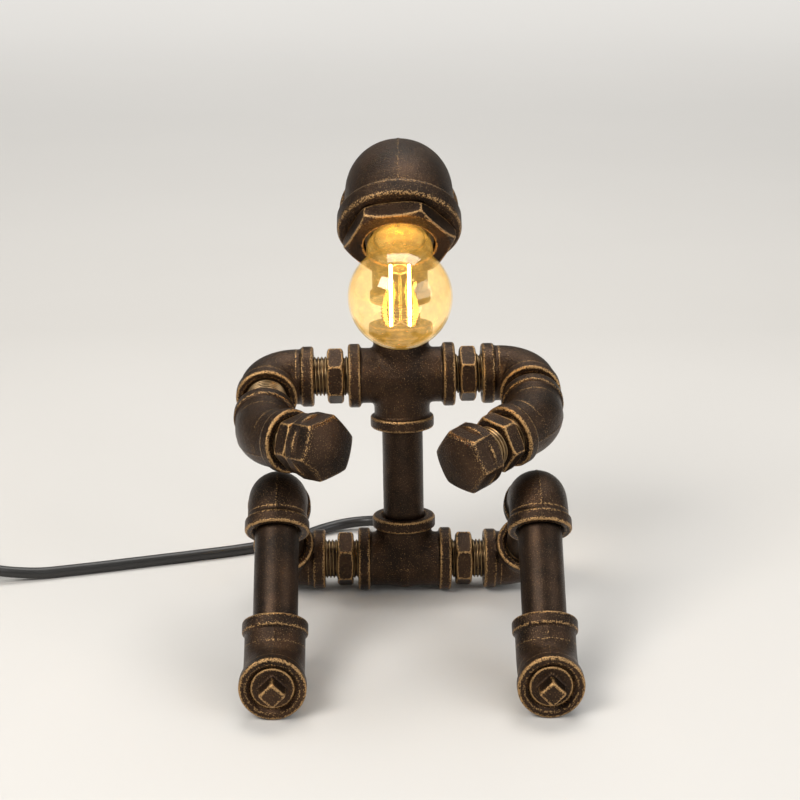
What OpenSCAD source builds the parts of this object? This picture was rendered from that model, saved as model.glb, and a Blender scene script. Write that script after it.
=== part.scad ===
// Robot shaped desk lamp put together from threaded iron pipe fittings.
// Millimetres, +Z up.  The robot sits on z = 0 with its symmetry plane at x = 0
// and looks along -Y.  "left" is the side at -X.

/* [Pipe and thread] */
// Outside diameter of the small pipe
pipe_d = 21.3; // [18:0.1:24]
// Wall of the small pipe
pipe_wall = 2.6; // [1.6:0.1:3.2]
// Diameter over a male thread of the small pipe
thread_d = 20.5; // [17:0.1:21]
// How far a thread goes into a fitting
thread_reach = 12; // [8:0.5:14]
// Play between a male thread and its socket, on the radius
thread_play = 0.05; // [0.02:0.01:0.1]

/* [Small fittings] */
// Diameter of the body of a small fitting
body_d = 28.6; // [26:0.1:30]
// Diameter of the bead round each mouth of an elbow
bead_d = 31.2; // [30:0.1:34]
// Diameter of the bead round each mouth of the tee and the cross
tee_bead_d = 33.0; // [31:0.1:36]
// Width of a bead
bead_w = 6.3; // [4:0.1:8]
// Bevel on the outer edges of a bead
bead_bevel = 1.1; // [0.5:0.1:1.8]
// Centre to face of a 90 degree elbow
elbow_a = 21.5; // [20:0.5:30]
// Centre to face of a 45 degree elbow
bend45_a = 22; // [18:0.5:28]
// Centre to face of the elbow at a shoulder
arm_elbow_a = 23.5; // [21:0.5:30]
// Centre to face of the tee
tee_a = 24.5; // [22:0.5:30]
// Centre to face of the cross
cross_a = 27.5; // [25:0.5:33]
// Across flats of the hexagon on a nipple
hex_af = 25.6; // [24:0.1:30]
// Width of the hexagon on a nipple
hex_w = 8.5; // [6:0.5:12]
// Thread that shows between a hexagon and the fitting it is screwed home in
short_thread = 2.5; // [1:0.5:4]

/* [Legs] */
// Height of a knee above a hip, as an angle of the thigh
leg_rise = 45; // [40:1:50]
// Hip elbow centre to knee elbow centre
thigh_l = 88; // [80:1:110]
// Thread that shows at a hip, outside the hexagon
hip_thread = 6.5; // [2:0.5:9]
// Side of the square head of a foot plug
plug_sq = 9.5; // [8:0.5:13]
// How far the square head stands out of the mouth
plug_out = 7; // [4:0.5:12]
// How deep the round shoulder of the plug lies inside the mouth
plug_recess = 1; // [0.5:0.5:4]

/* [Torso] */
// Centre of the tee to centre of the cross
spine_l = 100; // [85:1:130]
// How far the torso leans back
torso_lean = 5; // [0:1:10]
// How far the spine leans to the left
side_lean = 1; // [0:0.5:3]
// Thread that shows at the left shoulder, outside the hexagon
left_shoulder_thread = 7; // [1:0.5:10]
// Thread that shows at the right shoulder, outside the hexagon
right_shoulder_thread = 3; // [1:0.5:10]

/* [Arms] */
// Angle between the line from shoulder to knee and the upper arm, which droops this far clear of it
arm_droop = 21; // [18:0.5:28]
// Thread that shows between the two elbows of the left arm
left_gap = 16; // [6:0.5:20]
// Thread that shows between the two elbows of the right arm
right_gap = 7; // [5:0.5:20]
// Turn of the left forearm about its upper arm, up from pointing inward
left_turn = 20; // [0:1:30]
// Turn of the right forearm about its upper arm, up from pointing inward
right_turn = 0; // [0:1:30]
// Thread that shows at the left wrist, outside the hexagon
left_wrist_thread = 2; // [1:0.5:10]
// Thread that shows at the right wrist, outside the hexagon
right_wrist_thread = 9; // [1:0.5:10]
// Length of a fist cap
cap_l = 17.5; // [15:0.5:22]
// Across flats of a fist cap
cap_af = 28.6; // [26:0.1:30]

/* [Head] */
// Thread that shows between the cross and the neck elbow
neck_gap = 11; // [4:0.5:20]
// Swing of the neck elbow about the spine, to the robot's left
neck_swing = -0.9; // [-10:0.1:10]
// Thread that shows between the neck elbow and the head
nape_gap = 7; // [3:0.5:14]
// Turn of the head on its nipple, which brings the face back to the front
head_swing = -0.3; // [-10:0.1:10]
// Diameter of the body of the head elbow
head_d = 51.5; // [48:0.5:56]
// Diameter of the bead round each mouth of the head elbow
head_bead_d = 58.5; // [57:0.5:64]
// Width of that bead
head_bead_w = 9; // [7:0.5:12]
// Centre to face of the head elbow
head_a = 36; // [34:0.5:44]
// Diameter over the male thread that fits the head elbow
head_thread_d = 41.9; // [38:0.1:43]
// Across flats of the hexagon round the bulb
face_af = 46; // [44:0.5:50]
// Thickness of the hexagon round the bulb
face_w = 8.3; // [6:0.1:10]
// Turn of that hexagon from a flat on top
face_turn = 7.5; // [0:0.5:30]
// Bore of the hexagon round the bulb
face_bore_d = 33.6; // [33.2:0.1:35]
// Thickness of the hexagon behind the head
nape_w = 6; // [5:0.5:9]

/* [Lampholder and bulb] */
// Outside diameter of the lampholder
holder_d = 33.0; // [31:0.1:33.1]
// Length of the lampholder
holder_l = 33; // [28:0.5:34]
// Diameter of the bulb's screw cap
cap_d = 26.3; // [25:0.1:26.6]
// Diameter of the bulb's globe
globe_d = 48; // [45:1:60]
// Globe centre to the face of the hexagon
globe_out = 29; // [26:1:40]
// Diameter of the neck of the globe where it enters the face
neck_d = 31; // [28:0.5:32]
// Length of a filament
filament_l = 30; // [24:1:34]

/* [Cord] */
// Diameter of the cord
cord_d = 6; // [5:0.5:7]
// Length of the tapered strain relief
relief_l = 28; // [20:1:60]
// Turns of the cord that lie on the floor in the coil; the layer on top has half a turn more
coil_turns = 2.5; // [1.5:1:3.5]
// Gap between neighbouring turns of the coil
coil_gap = 0.5; // [0.45:0.05:2]
// Length of the switch on the cord
switch_l = 58; // [50:1:80]
// Width of the switch on the cord
switch_w = 25; // [22:1:32]
// Height of the switch on the cord
switch_h = 16; // [14:1:22]

/* [Hidden] */
$fn = 64;

iron = "#3b2f28";
brass = "#b8924a";
black = "#1c1b1a";
cream = "#d8d2c4";

eps = 0.01;
lap = 1;                                 // how far a cut or a hidden joint runs past a face
pipe_bore = pipe_d - 2 * pipe_wall;      // bore of every small pipe and nipple
socket_r = thread_d / 2 + thread_play;   // socket that takes a male thread
bead_ramp = 1.4;                         // slope from a body up to its bead
mouth_gap = 1;                           // socket left open past the end of a thread
tip_bevel = 0.8;                         // bevel on the end of a male thread

// Body bend radii: the straight arm of a fitting starts where its bead's slope starts.
elbow_bend = elbow_a - bead_w - bead_ramp - 1;
arm_bend = arm_elbow_a - bead_w - bead_ramp - 1;
bend45_r = (bend45_a - thread_reach - mouth_gap - 0.1) / tan(45 / 2);
head_ramp = 2.2;
head_bend = head_a - head_bead_w - head_ramp;
head_bevel = 1.6;
head_socket_r = head_thread_d / 2 + thread_play;
head_thread_l = 13;                      // male thread that goes into the head elbow
head_bore_r = head_d / 2 - 4.2;          // inside of the head elbow

// Places along the limbs
hip_gap = short_thread + hex_w + hip_thread;
hip_x = tee_a + hip_gap + elbow_a;
function shoulder_gap(side) = short_thread + hex_w
    + (side < 0 ? left_shoulder_thread : right_shoulder_thread);
function shoulder_x(side) = cross_a + shoulder_gap(side) + arm_elbow_a;
function wrist_gap(side) = short_thread + hex_w + (side < 0 ? left_wrist_thread : right_wrist_thread);
hip_z = tee_bead_d / 2;
shin_l = thigh_l + (tee_bead_d - bead_d) / 2 / cos(leg_rise);
thigh_bare = thigh_l - 2 * elbow_a;
shin_bare = shin_l - elbow_a - bend45_a;
spine_bare = spine_l - tee_a - cross_a;
neck_up = cross_a + neck_gap + bend45_a;   // cross centre to neck elbow centre
nape_l = bend45_a + nape_gap + nape_w + head_a;  // neck elbow centre to head centre
face_s = head_a + face_w;                // head centre to the face of the hexagon

// Places along the bulb's axis, counted from the head's centre
holder_top = face_s - 2.5;
holder_floor = 3;
holder_wall = 2.4;
shell_drop = 4;                          // from the lampholder's rim down to its shell
base_play = 0.3;                         // play that lets the bulb turn
contact_d = 7;
contact_h = 1.5;
holder_s = holder_top - holder_l;
cap_bottom = holder_s + holder_floor + contact_h + base_play;
cap_top = holder_top - 2;
globe_s = face_s + globe_out;

// ---------------------------------------------------------------- directions

function unit(v) = v / norm(v);
// Turns +Z to the direction 'a' and +X to the side of 'b'
module aim(a, b) {
    z = unit(a);
    y = unit(cross(z, b));
    x = cross(y, z);
    multmatrix([[x[0], y[0], z[0], 0], [x[1], y[1], z[1], 0], [x[2], y[2], z[2], 0], [0, 0, 0, 1]])
        children();
}

RIGHT = [1, 0, 0];
FRONT = [0, -1, 0];
UP = [0, 0, 1];

// Frame of a leg: thigh along -Y, shin along -Z.  side is -1 or 1.
module leg(side)
    translate([side * hip_x, 0, hip_z]) rotate([-leg_rise, 0, 0]) children();
module knee(side) leg(side) translate([0, -thigh_l, 0]) children();
module foot(side) knee(side) translate([0, 0, -shin_l]) children();
TOE = unit(FRONT - UP);                  // way the foot's mouth faces, in the leg's frame

// Frame of the tee, and of the torso at the tee and at the cross
module hips() translate([0, 0, hip_z]) rotate([-torso_lean, 0, 0]) children();
module torso() hips() rotate([0, -side_lean, 0]) children();
module shoulder() torso() translate([0, 0, spine_l]) children();

// Line from a shoulder forward and down to the middle of the knee's bend
knee_in = elbow_bend * (sqrt(2) - 1);    // from a knee's centre to the middle of its bend
knee_line = [thigh_l * cos(leg_rise) + spine_l * sin(torso_lean) - knee_in * sin(45 - leg_rise),
    spine_l * cos(torso_lean) - thigh_l * sin(leg_rise) + knee_in * cos(45 - leg_rise)];
arm_angle = torso_lean + atan2(knee_line[1], knee_line[0]) - arm_droop;  // arm below square to torso

// Frame of an arm: upper arm along -Y, from the shoulder elbow's centre
module arm(side)
    shoulder() translate([side * shoulder_x(side), 0, 0]) rotate([arm_angle, 0, 0]) children();
function arm_gap(side) = side < 0 ? left_gap : right_gap;
function inward(side) = let (turn = side < 0 ? left_turn : right_turn)
    [-side * cos(turn), 0, sin(turn)];
module elbow_of_arm(side) arm(side) translate([0, -arm_elbow_a - arm_gap(side) - bend45_a, 0])
    children();
function fist_way(side) = unit(FRONT + inward(side));

// Frame of the head: NAPE goes up and forward into the head, GAZE is the bulb's axis
NAPE = unit(FRONT + UP);
GAZE = unit(FRONT - UP);
module neck() shoulder() translate([0, 0, neck_up]) rotate([0, 0, neck_swing]) children();
module head() neck() translate(nape_l * NAPE) rotate(head_swing, NAPE) children();
module gaze() head() aim(GAZE, NAPE) children();

// ------------------------------------------------------------- fitting parts

// Arm of a fitting along +Z, from 'start' to the face at 'a', with its bead
module arm_solid(start, a, r, bead_r, w, ramp, bevel)
    rotate_extrude() polygon([[0, start], [r, start], [r, a - w - ramp], [bead_r - bevel / 2, a - w],
        [bead_r, a - w + bevel / 2], [bead_r, a - bevel], [bead_r - bevel, a], [0, a]]);

// Round bar bent through 'turn': comes down along Z to z = t and leaves along the other arm
module bent_bar(turn, bend, r) {
    t = bend * tan(turn / 2);
    translate([bend, 0, t]) rotate([90, 0, 0]) rotate([0, 0, 180]) rotate_extrude(angle = turn)
        intersection() {
            translate([bend, 0]) circle(r = r);
            translate([0, -r]) square([bend + r, 2 * r]);
        }
}

// Elbow with its centre at the origin: one arm along +Z, the other turned towards +X
module elbow(turn, a, bend, r, bead_r, w, ramp, bevel, bore_r, sock_r, sock_l) {
    t = bend * tan(turn / 2);
    bore_t = a - sock_l;
    difference() {
        union() {
            bent_bar(turn, bend, r);
            for (v = [0, 180 - turn]) rotate([0, v, 0]) {
                arm_solid(t, a, r, bead_r, w, ramp, bevel);
                translate([0, 0, t - lap]) cylinder(r = r - lap / 2, h = 2 * lap);
            }
        }
        bent_bar(turn, bore_t / tan(turn / 2), bore_r);
        for (v = [0, 180 - turn]) rotate([0, v, 0]) {
            translate([0, 0, bore_t]) cylinder(r = bore_r, h = a);
            translate([0, 0, bore_t]) cylinder(r = sock_r, h = sock_l + lap);
        }
    }
}

module small_elbow(turn, a, bend) color(iron)
    elbow(turn, a, bend, body_d / 2, bead_d / 2, bead_w, bead_ramp, bead_bevel,
        pipe_bore / 2, socket_r, thread_reach + mouth_gap);

// Tee or cross: one arm of length a for each direction in 'ways'
module junction(ways, a) color(iron) difference() {
    union() {
        sphere(d = body_d);
        for (w = ways) aim(w, FRONT)
            arm_solid(0, a, body_d / 2, tee_bead_d / 2, bead_w, bead_ramp, bead_bevel);
    }
    for (w = ways) aim(w, FRONT) {
        cylinder(d = pipe_bore, h = a + 1);
        translate([0, 0, a - thread_reach - mouth_gap])
            cylinder(r = socket_r, h = thread_reach + mouth_gap + 1);
    }
}

// Pipe along +Z, bare from z = 0 to z = l, with a thread into the fitting at each end
module pipe(l, bare_d = pipe_d) {
    r = thread_d / 2;
    b = bare_d / 2;
    lo = -thread_reach;
    hi = l + thread_reach;
    color(iron) rotate_extrude() polygon([[pipe_bore / 2, lo], [r - tip_bevel, lo], [r, lo + tip_bevel],
        [r, 0], [b, 0], [b, l], [r, l], [r, hi - tip_bevel], [r - tip_bevel, hi], [pipe_bore / 2, hi]]);
}

// Nipple whose thread shows all the way across the gap
module close_nipple(gap) color(iron) rotate_extrude() polygon([
    [pipe_bore / 2, -thread_reach], [thread_d / 2 - tip_bevel, -thread_reach],
    [thread_d / 2, -thread_reach + tip_bevel], [thread_d / 2, gap + thread_reach - tip_bevel],
    [thread_d / 2 - tip_bevel, gap + thread_reach], [pipe_bore / 2, gap + thread_reach]]);

// Hexagon along +Z with its edges taken off by a cone at both ends
module hex_block(af, w) {
    corner_r = af / 2 / cos(30);
    bevel = (corner_r - af / 2) * 0.9;
    intersection() {
        cylinder(r = corner_r, h = w, $fn = 6);
        rotate_extrude() polygon([[0, 0], [corner_r - bevel, 0], [corner_r + eps, bevel * 0.6],
            [corner_r + eps, w - bevel * 0.6], [corner_r - bevel, w], [0, w]]);
    }
}

// Hexagon nipple along +Z: first fitting's face at z = 0, second one's at z = gap;
// a corner of the hexagon lies towards 'turn'
module hex_nipple(gap, turn = 0) color(iron) difference() {
    union() {
        close_nipple(gap);
        translate([0, 0, short_thread]) rotate([0, 0, turn]) hex_block(hex_af, hex_w);
    }
    translate([0, 0, -thread_reach - 1]) cylinder(d = pipe_bore, h = gap + 2 * thread_reach + 2);
}

// ---------------------------------------------------------------------- legs

module hip_tee() hips() difference() {
    junction([RIGHT, -RIGHT, [-sin(side_lean), 0, cos(side_lean)]], tee_a);
    aim(-FRONT, UP) cylinder(d = gland_thread_d + 2 * thread_play, h = body_d);
}
module hip_nipple(side) hips() translate([side * tee_a, 0, 0]) aim(side * RIGHT, UP)
    hex_nipple(hip_gap);
module hip_elbow(side) leg(side) aim(-side * RIGHT, FRONT) small_elbow(90, elbow_a, elbow_bend);
module thigh_nipple(side) leg(side) translate([0, -elbow_a, 0]) aim(FRONT, UP) pipe(thigh_bare);
module knee_elbow(side) knee(side) aim(-FRONT, -UP) small_elbow(90, elbow_a, elbow_bend);
module shin_pipe(side) knee(side) translate([0, 0, -elbow_a]) aim(-UP, FRONT) pipe(shin_bare);
module foot_elbow(side) foot(side) aim(UP, FRONT) small_elbow(45, bend45_a, bend45_r);

// Solid plug with a square head; its round shoulder lies inside the mouth
module foot_plug(side) {
    r = thread_d / 2;
    h = plug_recess + plug_out;
    color(iron) foot(side) translate(bend45_a * TOE) aim(TOE, UP) translate([0, 0, -plug_recess]) {
        rotate_extrude() polygon([[0, plug_recess - thread_reach],
            [r - tip_bevel, plug_recess - thread_reach], [r, plug_recess - thread_reach + tip_bevel],
            [r, -tip_bevel], [r - tip_bevel, 0], [0, 0]]);
        rotate([0, 0, 45]) intersection() {
            translate([-plug_sq / 2, -plug_sq / 2, -eps]) cube([plug_sq, plug_sq, h]);
            rotate_extrude() polygon([[0, -eps], [plug_sq, -eps], [plug_sq, h - 0.35 * plug_sq],
                [plug_sq * 0.57, h - eps], [0, h - eps]]);
        }
    }
}

// --------------------------------------------------------------------- torso

module spine_pipe() torso() translate([0, 0, tee_a]) pipe(spine_bare);
module shoulder_cross() shoulder() junction([RIGHT, -RIGHT, UP, -UP], cross_a);
module shoulder_nipple(side) shoulder() translate([side * cross_a, 0, 0]) aim(side * RIGHT, UP)
    hex_nipple(shoulder_gap(side));
module neck_nipple() shoulder() translate([0, 0, cross_a]) close_nipple(neck_gap);

// ---------------------------------------------------------------------- arms

module upper_elbow(side) arm(side) aim(-side * RIGHT, FRONT) small_elbow(90, arm_elbow_a, arm_bend);
module arm_nipple(side) arm(side) translate([0, -arm_elbow_a, 0]) aim(FRONT, UP)
    close_nipple(arm_gap(side));
module forearm_elbow(side) elbow_of_arm(side) aim(-FRONT, inward(side))
    small_elbow(45, bend45_a, bend45_r);
module wrist_nipple(side) elbow_of_arm(side) translate(bend45_a * fist_way(side))
    aim(fist_way(side), UP) hex_nipple(wrist_gap(side), 30);

// Cap: a bead round the mouth, six flats and a crowned end
module fist_cap(side) {
    flats = cap_l - bead_w;
    crown = 2;
    color(iron) elbow_of_arm(side) translate((bend45_a + wrist_gap(side)) * fist_way(side))
        aim(fist_way(side), UP) difference() {
            union() {
                rotate_extrude() polygon([[0, 0], [bead_d / 2 - bead_bevel, 0], [bead_d / 2, bead_bevel],
                    [bead_d / 2, bead_w - bead_bevel], [bead_d / 2 - bead_bevel, bead_w], [0, bead_w]]);
                translate([0, 0, bead_w - eps]) intersection() {
                    rotate([0, 0, 30]) cylinder(d = cap_af / cos(30), h = flats + eps, $fn = 6);
                    rotate_extrude() polygon([[0, 0], [cap_af / 2 + 1, 0],
                        [cap_af / 2 + 1, flats - 3 * crown], [cap_af / 2 - 1, flats - crown],
                        [cap_af / 2 - 5, flats], [0, flats]]);
                }
            }
            translate([0, 0, -1]) cylinder(r = socket_r, h = thread_reach + mouth_gap + 1);
        }
}

// ---------------------------------------------------------------------- head

module neck_elbow() neck() aim(-UP, FRONT) small_elbow(45, bend45_a, bend45_r);
module head_nipple() neck() translate(bend45_a * NAPE) aim(NAPE, RIGHT) close_nipple(nape_gap);

// Hexagon bushing along +Z: flange from z = 0 to w, big male thread below z = 0
module bushing(af, w, bore_r, sock_r, sock_l) color(iron) difference() {
    union() {
        hex_block(af, w);
        rotate_extrude() polygon([[0, -head_thread_l], [head_thread_d / 2 - tip_bevel, -head_thread_l],
            [head_thread_d / 2, -head_thread_l + tip_bevel], [head_thread_d / 2, eps], [0, eps]]);
    }
    translate([0, 0, -head_thread_l - 1]) cylinder(r = bore_r, h = head_thread_l + w + 2);
    translate([0, 0, w - sock_l]) cylinder(r = sock_r, h = sock_l + 1);
}
module head_bushing() head() translate(-head_a * NAPE) aim(-NAPE, RIGHT)
    bushing(face_af, nape_w, pipe_bore / 2, socket_r, thread_reach + mouth_gap);
module head_elbow() head() aim(GAZE, -NAPE) color(iron)
    elbow(90, head_a, head_bend, head_d / 2, head_bead_d / 2, head_bead_w, head_ramp, head_bevel,
        head_bore_r, head_socket_r, head_thread_l + mouth_gap);
module face_bushing() gaze() translate([0, 0, head_a]) rotate([0, 0, 30 + face_turn])
    bushing(face_af, face_w, face_bore_d / 2, face_bore_d / 2, 1);

// Insulating cup that carries the brass screw shell; its floor has a hole for the lead
module lampholder() gaze() color(black) difference() {
    translate([0, 0, holder_s]) cylinder(d = holder_d, h = holder_l);
    translate([0, 0, holder_s + holder_floor]) cylinder(d = holder_d - 2 * holder_wall, h = holder_l);
    translate([0, 0, holder_s - 1]) cylinder(d = cord_core_d + 0.4, h = holder_floor + 2);
}
module socket_shell() gaze() color(brass) difference() {
    translate([0, 0, holder_s + holder_floor])
        cylinder(r = holder_d / 2 - holder_wall - thread_play, h = holder_l - holder_floor - shell_drop);
    translate([0, 0, holder_s]) cylinder(r = cap_d / 2 + thread_play, h = holder_l);
}
module centre_contact() gaze() color(brass) translate([0, 0, holder_s + holder_floor])
    cylinder(d = contact_d, h = contact_h);

// ---------------------------------------------------------------------- bulb

module bulb_cap() gaze() color(brass) rotate_extrude() polygon([
    [0, cap_bottom], [contact_d / 2, cap_bottom], [contact_d / 2 + 1, cap_bottom + 1.5],
    [cap_d / 2 - 2, cap_bottom + 4], [cap_d / 2, cap_bottom + 6], [cap_d / 2, cap_top], [0, cap_top]]);

// Globe: a ball that runs into a neck, blown hollow
glass_t = 0.8;
glass_steps = 24;
glass_r = cap_d / 2 - 0.2;               // where the glass stands in the screw cap
function globe_outline(inset) = let (r = globe_d / 2 - inset, n = neck_d / 2 - inset,
    join = asin(n / r)) [for (i = [0:glass_steps]) let (v = (180 - join) * (1 - i / glass_steps))
    [r * sin(v), globe_s + r * cos(v)]];
module bulb_glass() gaze() color([1, 0.95, 0.85, 0.4]) rotate_extrude() polygon(concat(
    [[glass_r - glass_t, cap_top], [glass_r, cap_top], [glass_r, holder_top], [neck_d / 2, face_s]],
    globe_outline(0), [for (i = [glass_steps:-1:0]) globe_outline(glass_t)[i]],
    [[neck_d / 2 - glass_t, face_s], [glass_r - glass_t, holder_top]]));

// Stem: a flared foot on the cap, a tube, and a rod up to the filaments' top
stem_r = 3;
stem_top = globe_s - filament_l / 2 + 1;
filament_foot = stem_top - 2;
wire_d = 0.6;
module bulb_stem() gaze() color([0.9, 0.95, 1, 0.6]) {
    rotate_extrude() polygon([[0, cap_top], [glass_r - glass_t - 0.5, cap_top],
        [glass_r - glass_t - 1.5, cap_top + 1.5], [1.5 * stem_r, cap_top + 6],
        [stem_r, stem_top], [0, stem_top]]);
    translate([0, 0, stem_top - eps])
        cylinder(d = 2 * wire_d, h = filament_foot + filament_l - wire_d - stem_top);
}
// Four upright filaments, tied by thin wires to a hub on the rod and to a ring round the stem
filament_r = 6;                          // from the bulb's axis to a filament
filament_d = 1.6;
module bulb_filaments() gaze() color("orange") {
    for (v = [45:90:315]) rotate([0, 0, v]) {
        translate([filament_r, 0, filament_foot]) cylinder(d = filament_d, h = filament_l);
        translate([0, -wire_d / 2, filament_foot + filament_l - wire_d]) cube([filament_r, wire_d, wire_d]);
        translate([stem_r + wire_d, -wire_d / 2, filament_foot]) cube([filament_r - stem_r, wire_d, wire_d]);
    }
    translate([0, 0, filament_foot]) difference() {
        cylinder(r = stem_r + 1.5, h = wire_d);
        translate([0, 0, -lap]) cylinder(r = stem_r + 0.3, h = wire_d + 2 * lap);
    }
}

// ------------------------------------------------------------ wires and cord

cord_core_d = 5;                         // the two wires inside the fittings, taken together
gland_thread_d = 10;
gland_af = 14;
gland_w = 6;
gland_reach = 3;                         // thread of the gland inside the tee's wall
gland_seat = body_d / 2 + 0.1;
relief_collar = 3;
relief_wall = 0.9;                       // rubber left round the cord at the sleeve's small end
lead_bend = 9;                           // bend of the wires where they turn up the spine

// The wires come in through the gland, turn up the spine and end at the neck elbow's centre
module inner_lead() torso() color(black) {
    in = relief_start;
    translate([0, in, 0]) rotate([90, 0, 0]) cylinder(d = cord_core_d, h = in - lead_bend);
    aim(UP, -FRONT) bent_bar(90, lead_bend, cord_core_d / 2);
    translate([0, 0, lead_bend])
        cylinder(d = cord_core_d, h = spine_l + neck_up - lead_bend - cord_core_d / 2);
}
// They go on up the nape, turn down the bulb's axis and end at the lampholder's floor
head_lead_end = holder_s + holder_floor - 0.3;
module head_lead() head() color(black) {
    start = nape_l - cord_core_d;
    turn_r = head_lead_end - holder_floor - 0.6;
    aim(-NAPE, GAZE) translate([0, 0, turn_r]) cylinder(d = cord_core_d, h = start - turn_r);
    aim(GAZE, -NAPE) bent_bar(90, turn_r, cord_core_d / 2);
    aim(GAZE, NAPE) translate([0, 0, turn_r]) cylinder(d = cord_core_d, h = head_lead_end - turn_r);
}

// Gland in the back of the tee: thread through the wall, hexagon outside
module cord_gland() torso() aim(-FRONT, UP) color(brass) difference() {
    union() {
        translate([0, 0, gland_seat - gland_reach]) cylinder(d = gland_thread_d, h = gland_reach + lap);
        translate([0, 0, gland_seat]) hex_block(gland_af, gland_w);
    }
    cylinder(d = cord_d, h = gland_seat + gland_w + lap);
}
// Tapered sleeve on the gland; the cord meets its small end and the bare wires its large one
relief_start = gland_seat + gland_w;
relief_end = relief_start + relief_l;
relief_r = gland_af / 2 - 1.4;
module strain_relief() torso() aim(-FRONT, UP) color(black) rotate_extrude() polygon([
    [0, relief_start], [relief_r, relief_start], [relief_r, relief_start + relief_collar],
    [cord_d / 2 + relief_wall, relief_end], [0, relief_end]]);

// Sweeps a tube of n sides along points; each ring stands square to the way it runs
function way(p, i) = let (n = len(p) - 1)
    unit(p[min(i + 1, n)] - p[max(i - 1, 0)]);
function ring(c, d, r, n) = let (side = unit(cross(d, UP)), over = cross(side, d))
    [for (k = [0:n - 1]) c + r * (cos(360 * k / n) * side + sin(360 * k / n) * over)];
module tube(p, r, n) {
    m = len(p);
    polyhedron([for (i = [0:m - 1]) each ring(p[i], way(p, i), r, n)],
        concat([[for (k = [0:n - 1]) k]], [for (i = [0:m - 2], k = [0:n - 1]) each
            [[i * n + k, (i + 1) * n + k, (i + 1) * n + (k + 1) % n],
             [i * n + k, (i + 1) * n + (k + 1) % n, i * n + (k + 1) % n]]],
            [[for (k = [n - 1:-1:0]) (m - 1) * n + k]]));
}
// Smooth curve through points chosen by hand: 'steps' pieces from each to the next.
// It never dips below the height at which a cord lies on the floor.
function curve_at(a, b, c, d, t) = 0.5 * (2 * b + (c - a) * t + (2 * a - 5 * b + 4 * c - d) * t * t
    + (3 * b - a - 3 * c + d) * t * t * t);
function curve(p, steps) = let (n = len(p) - 1) concat([for (i = [0:n - 1], s = [0:steps - 1])
    let (c = curve_at(p[max(i - 1, 0)], p[i], p[i + 1], p[min(i + 2, n)], s / steps))
    [c[0], c[1], max(c[2], cord_d / 2)]], [p[n]]);

// The same with both end pieces left straight, so that each end is square to its piece
function run(p, steps) = let (n = len(p) - 1)
    concat([p[0]], curve([for (i = [1:n - 1]) p[i]], steps), [p[n]]);

floor_z = cord_d / 2;
tie_t = 1;
coil_z = floor_z + tie_t + 0.3;          // the coil lies on the tie that goes round it
coil_r = 44;                             // radius of the outermost turn on the floor
coil_pitch = cord_d + coil_gap;
coil_at = [-332, -34, coil_z];
// The cord winds in on the floor, climbs a layer in the half turn where it reverses, winds out on top
coil_steps = 24;                         // points in each turn
coil_layer = cord_d + coil_gap;
coil_in = coil_turns * coil_steps;       // points before the climb
coil_half = coil_steps / 2;              // points in the climb, and in the extra half turn on top
coil_count = 2 * (coil_in + coil_half);
function coil_point(i) = let (
    into = min(i, coil_in + coil_half / 2), out = max(0, i - coil_in - coil_half / 2),
    climb = min(1, max(0, (i - coil_in) / coil_half)),
    r = coil_r - coil_pitch * (into - out) / coil_steps, v = 90 + 360 * i / coil_steps)
    coil_at + [r * cos(v), r * sin(v), coil_layer * climb];
coil_path = [for (i = [0:coil_count]) coil_point(i)];
coil_top_r = coil_r + coil_pitch / 2;    // radius of the outermost turn on top
coil_inner_r = coil_r - coil_pitch * (coil_turns + 0.25);
// Straight ends of the coil, long enough to come clear of its round side
function coil_end_l(r, turn_r) = sqrt(pow(r + floor_z, 2) - pow(turn_r - floor_z, 2)) + 0.5;
coil_start = coil_at + [coil_end_l(coil_r, coil_r), coil_r, 0];
coil_end = coil_at + [-coil_end_l(coil_top_r, coil_top_r), coil_top_r, coil_layer];
switch_z = 7;                            // height at which the cord enters the switch
switch_start = [-228, 10, switch_z];     // end of the switch towards the lamp
switch_end = switch_start - [switch_l, 0, 0];
back = [0, cos(torso_lean), -sin(torso_lean)];
relief_tip = [0, 0, hip_z] + relief_end * back;
lead_route = [relief_tip, relief_tip + cord_d * back, [-2, 64, 9.8], [-9, 74, 7.6], [-20, 79.5, 5.6],
    [-33, 79, 4.2], [-45, 73, 3.4], [-56, 64, 3], [-70, 54, 3], [-90, 45, 3], [-115, 37, 3],
    [-140, 29.5, 3], [-165, 22, 3], [-185, 16.5, 3], [-197, 13.2, 3.4], [-211, 10.5, 5.2],
    switch_start + [cord_d, 0, 0], switch_start];
link_route = [switch_end, switch_end - [cord_d / 2, 0, 0], (switch_end + coil_start) / 2,
    coil_start + [cord_d / 2, 0, 0], coil_start];
plug_z = 8;                              // height of the plug's axis
tail_l = 22.7;                           // from the coil's end to the plug
plug_at = [coil_end[0] - tail_l, coil_end[1], plug_z];
tail_route = [coil_end, coil_end - [cord_d / 2, 0, 0], (coil_end + plug_at) / 2,
    plug_at + [cord_d / 2, 0, 0], plug_at];

module cord_lead() color(black) tube(run(lead_route, 3), cord_d / 2, 8);
module cord_link() color(black) tube(run(link_route, 2), cord_d / 2, 8);
module cord_tail() color(black) tube(run(tail_route, 2), cord_d / 2, 8);

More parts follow.
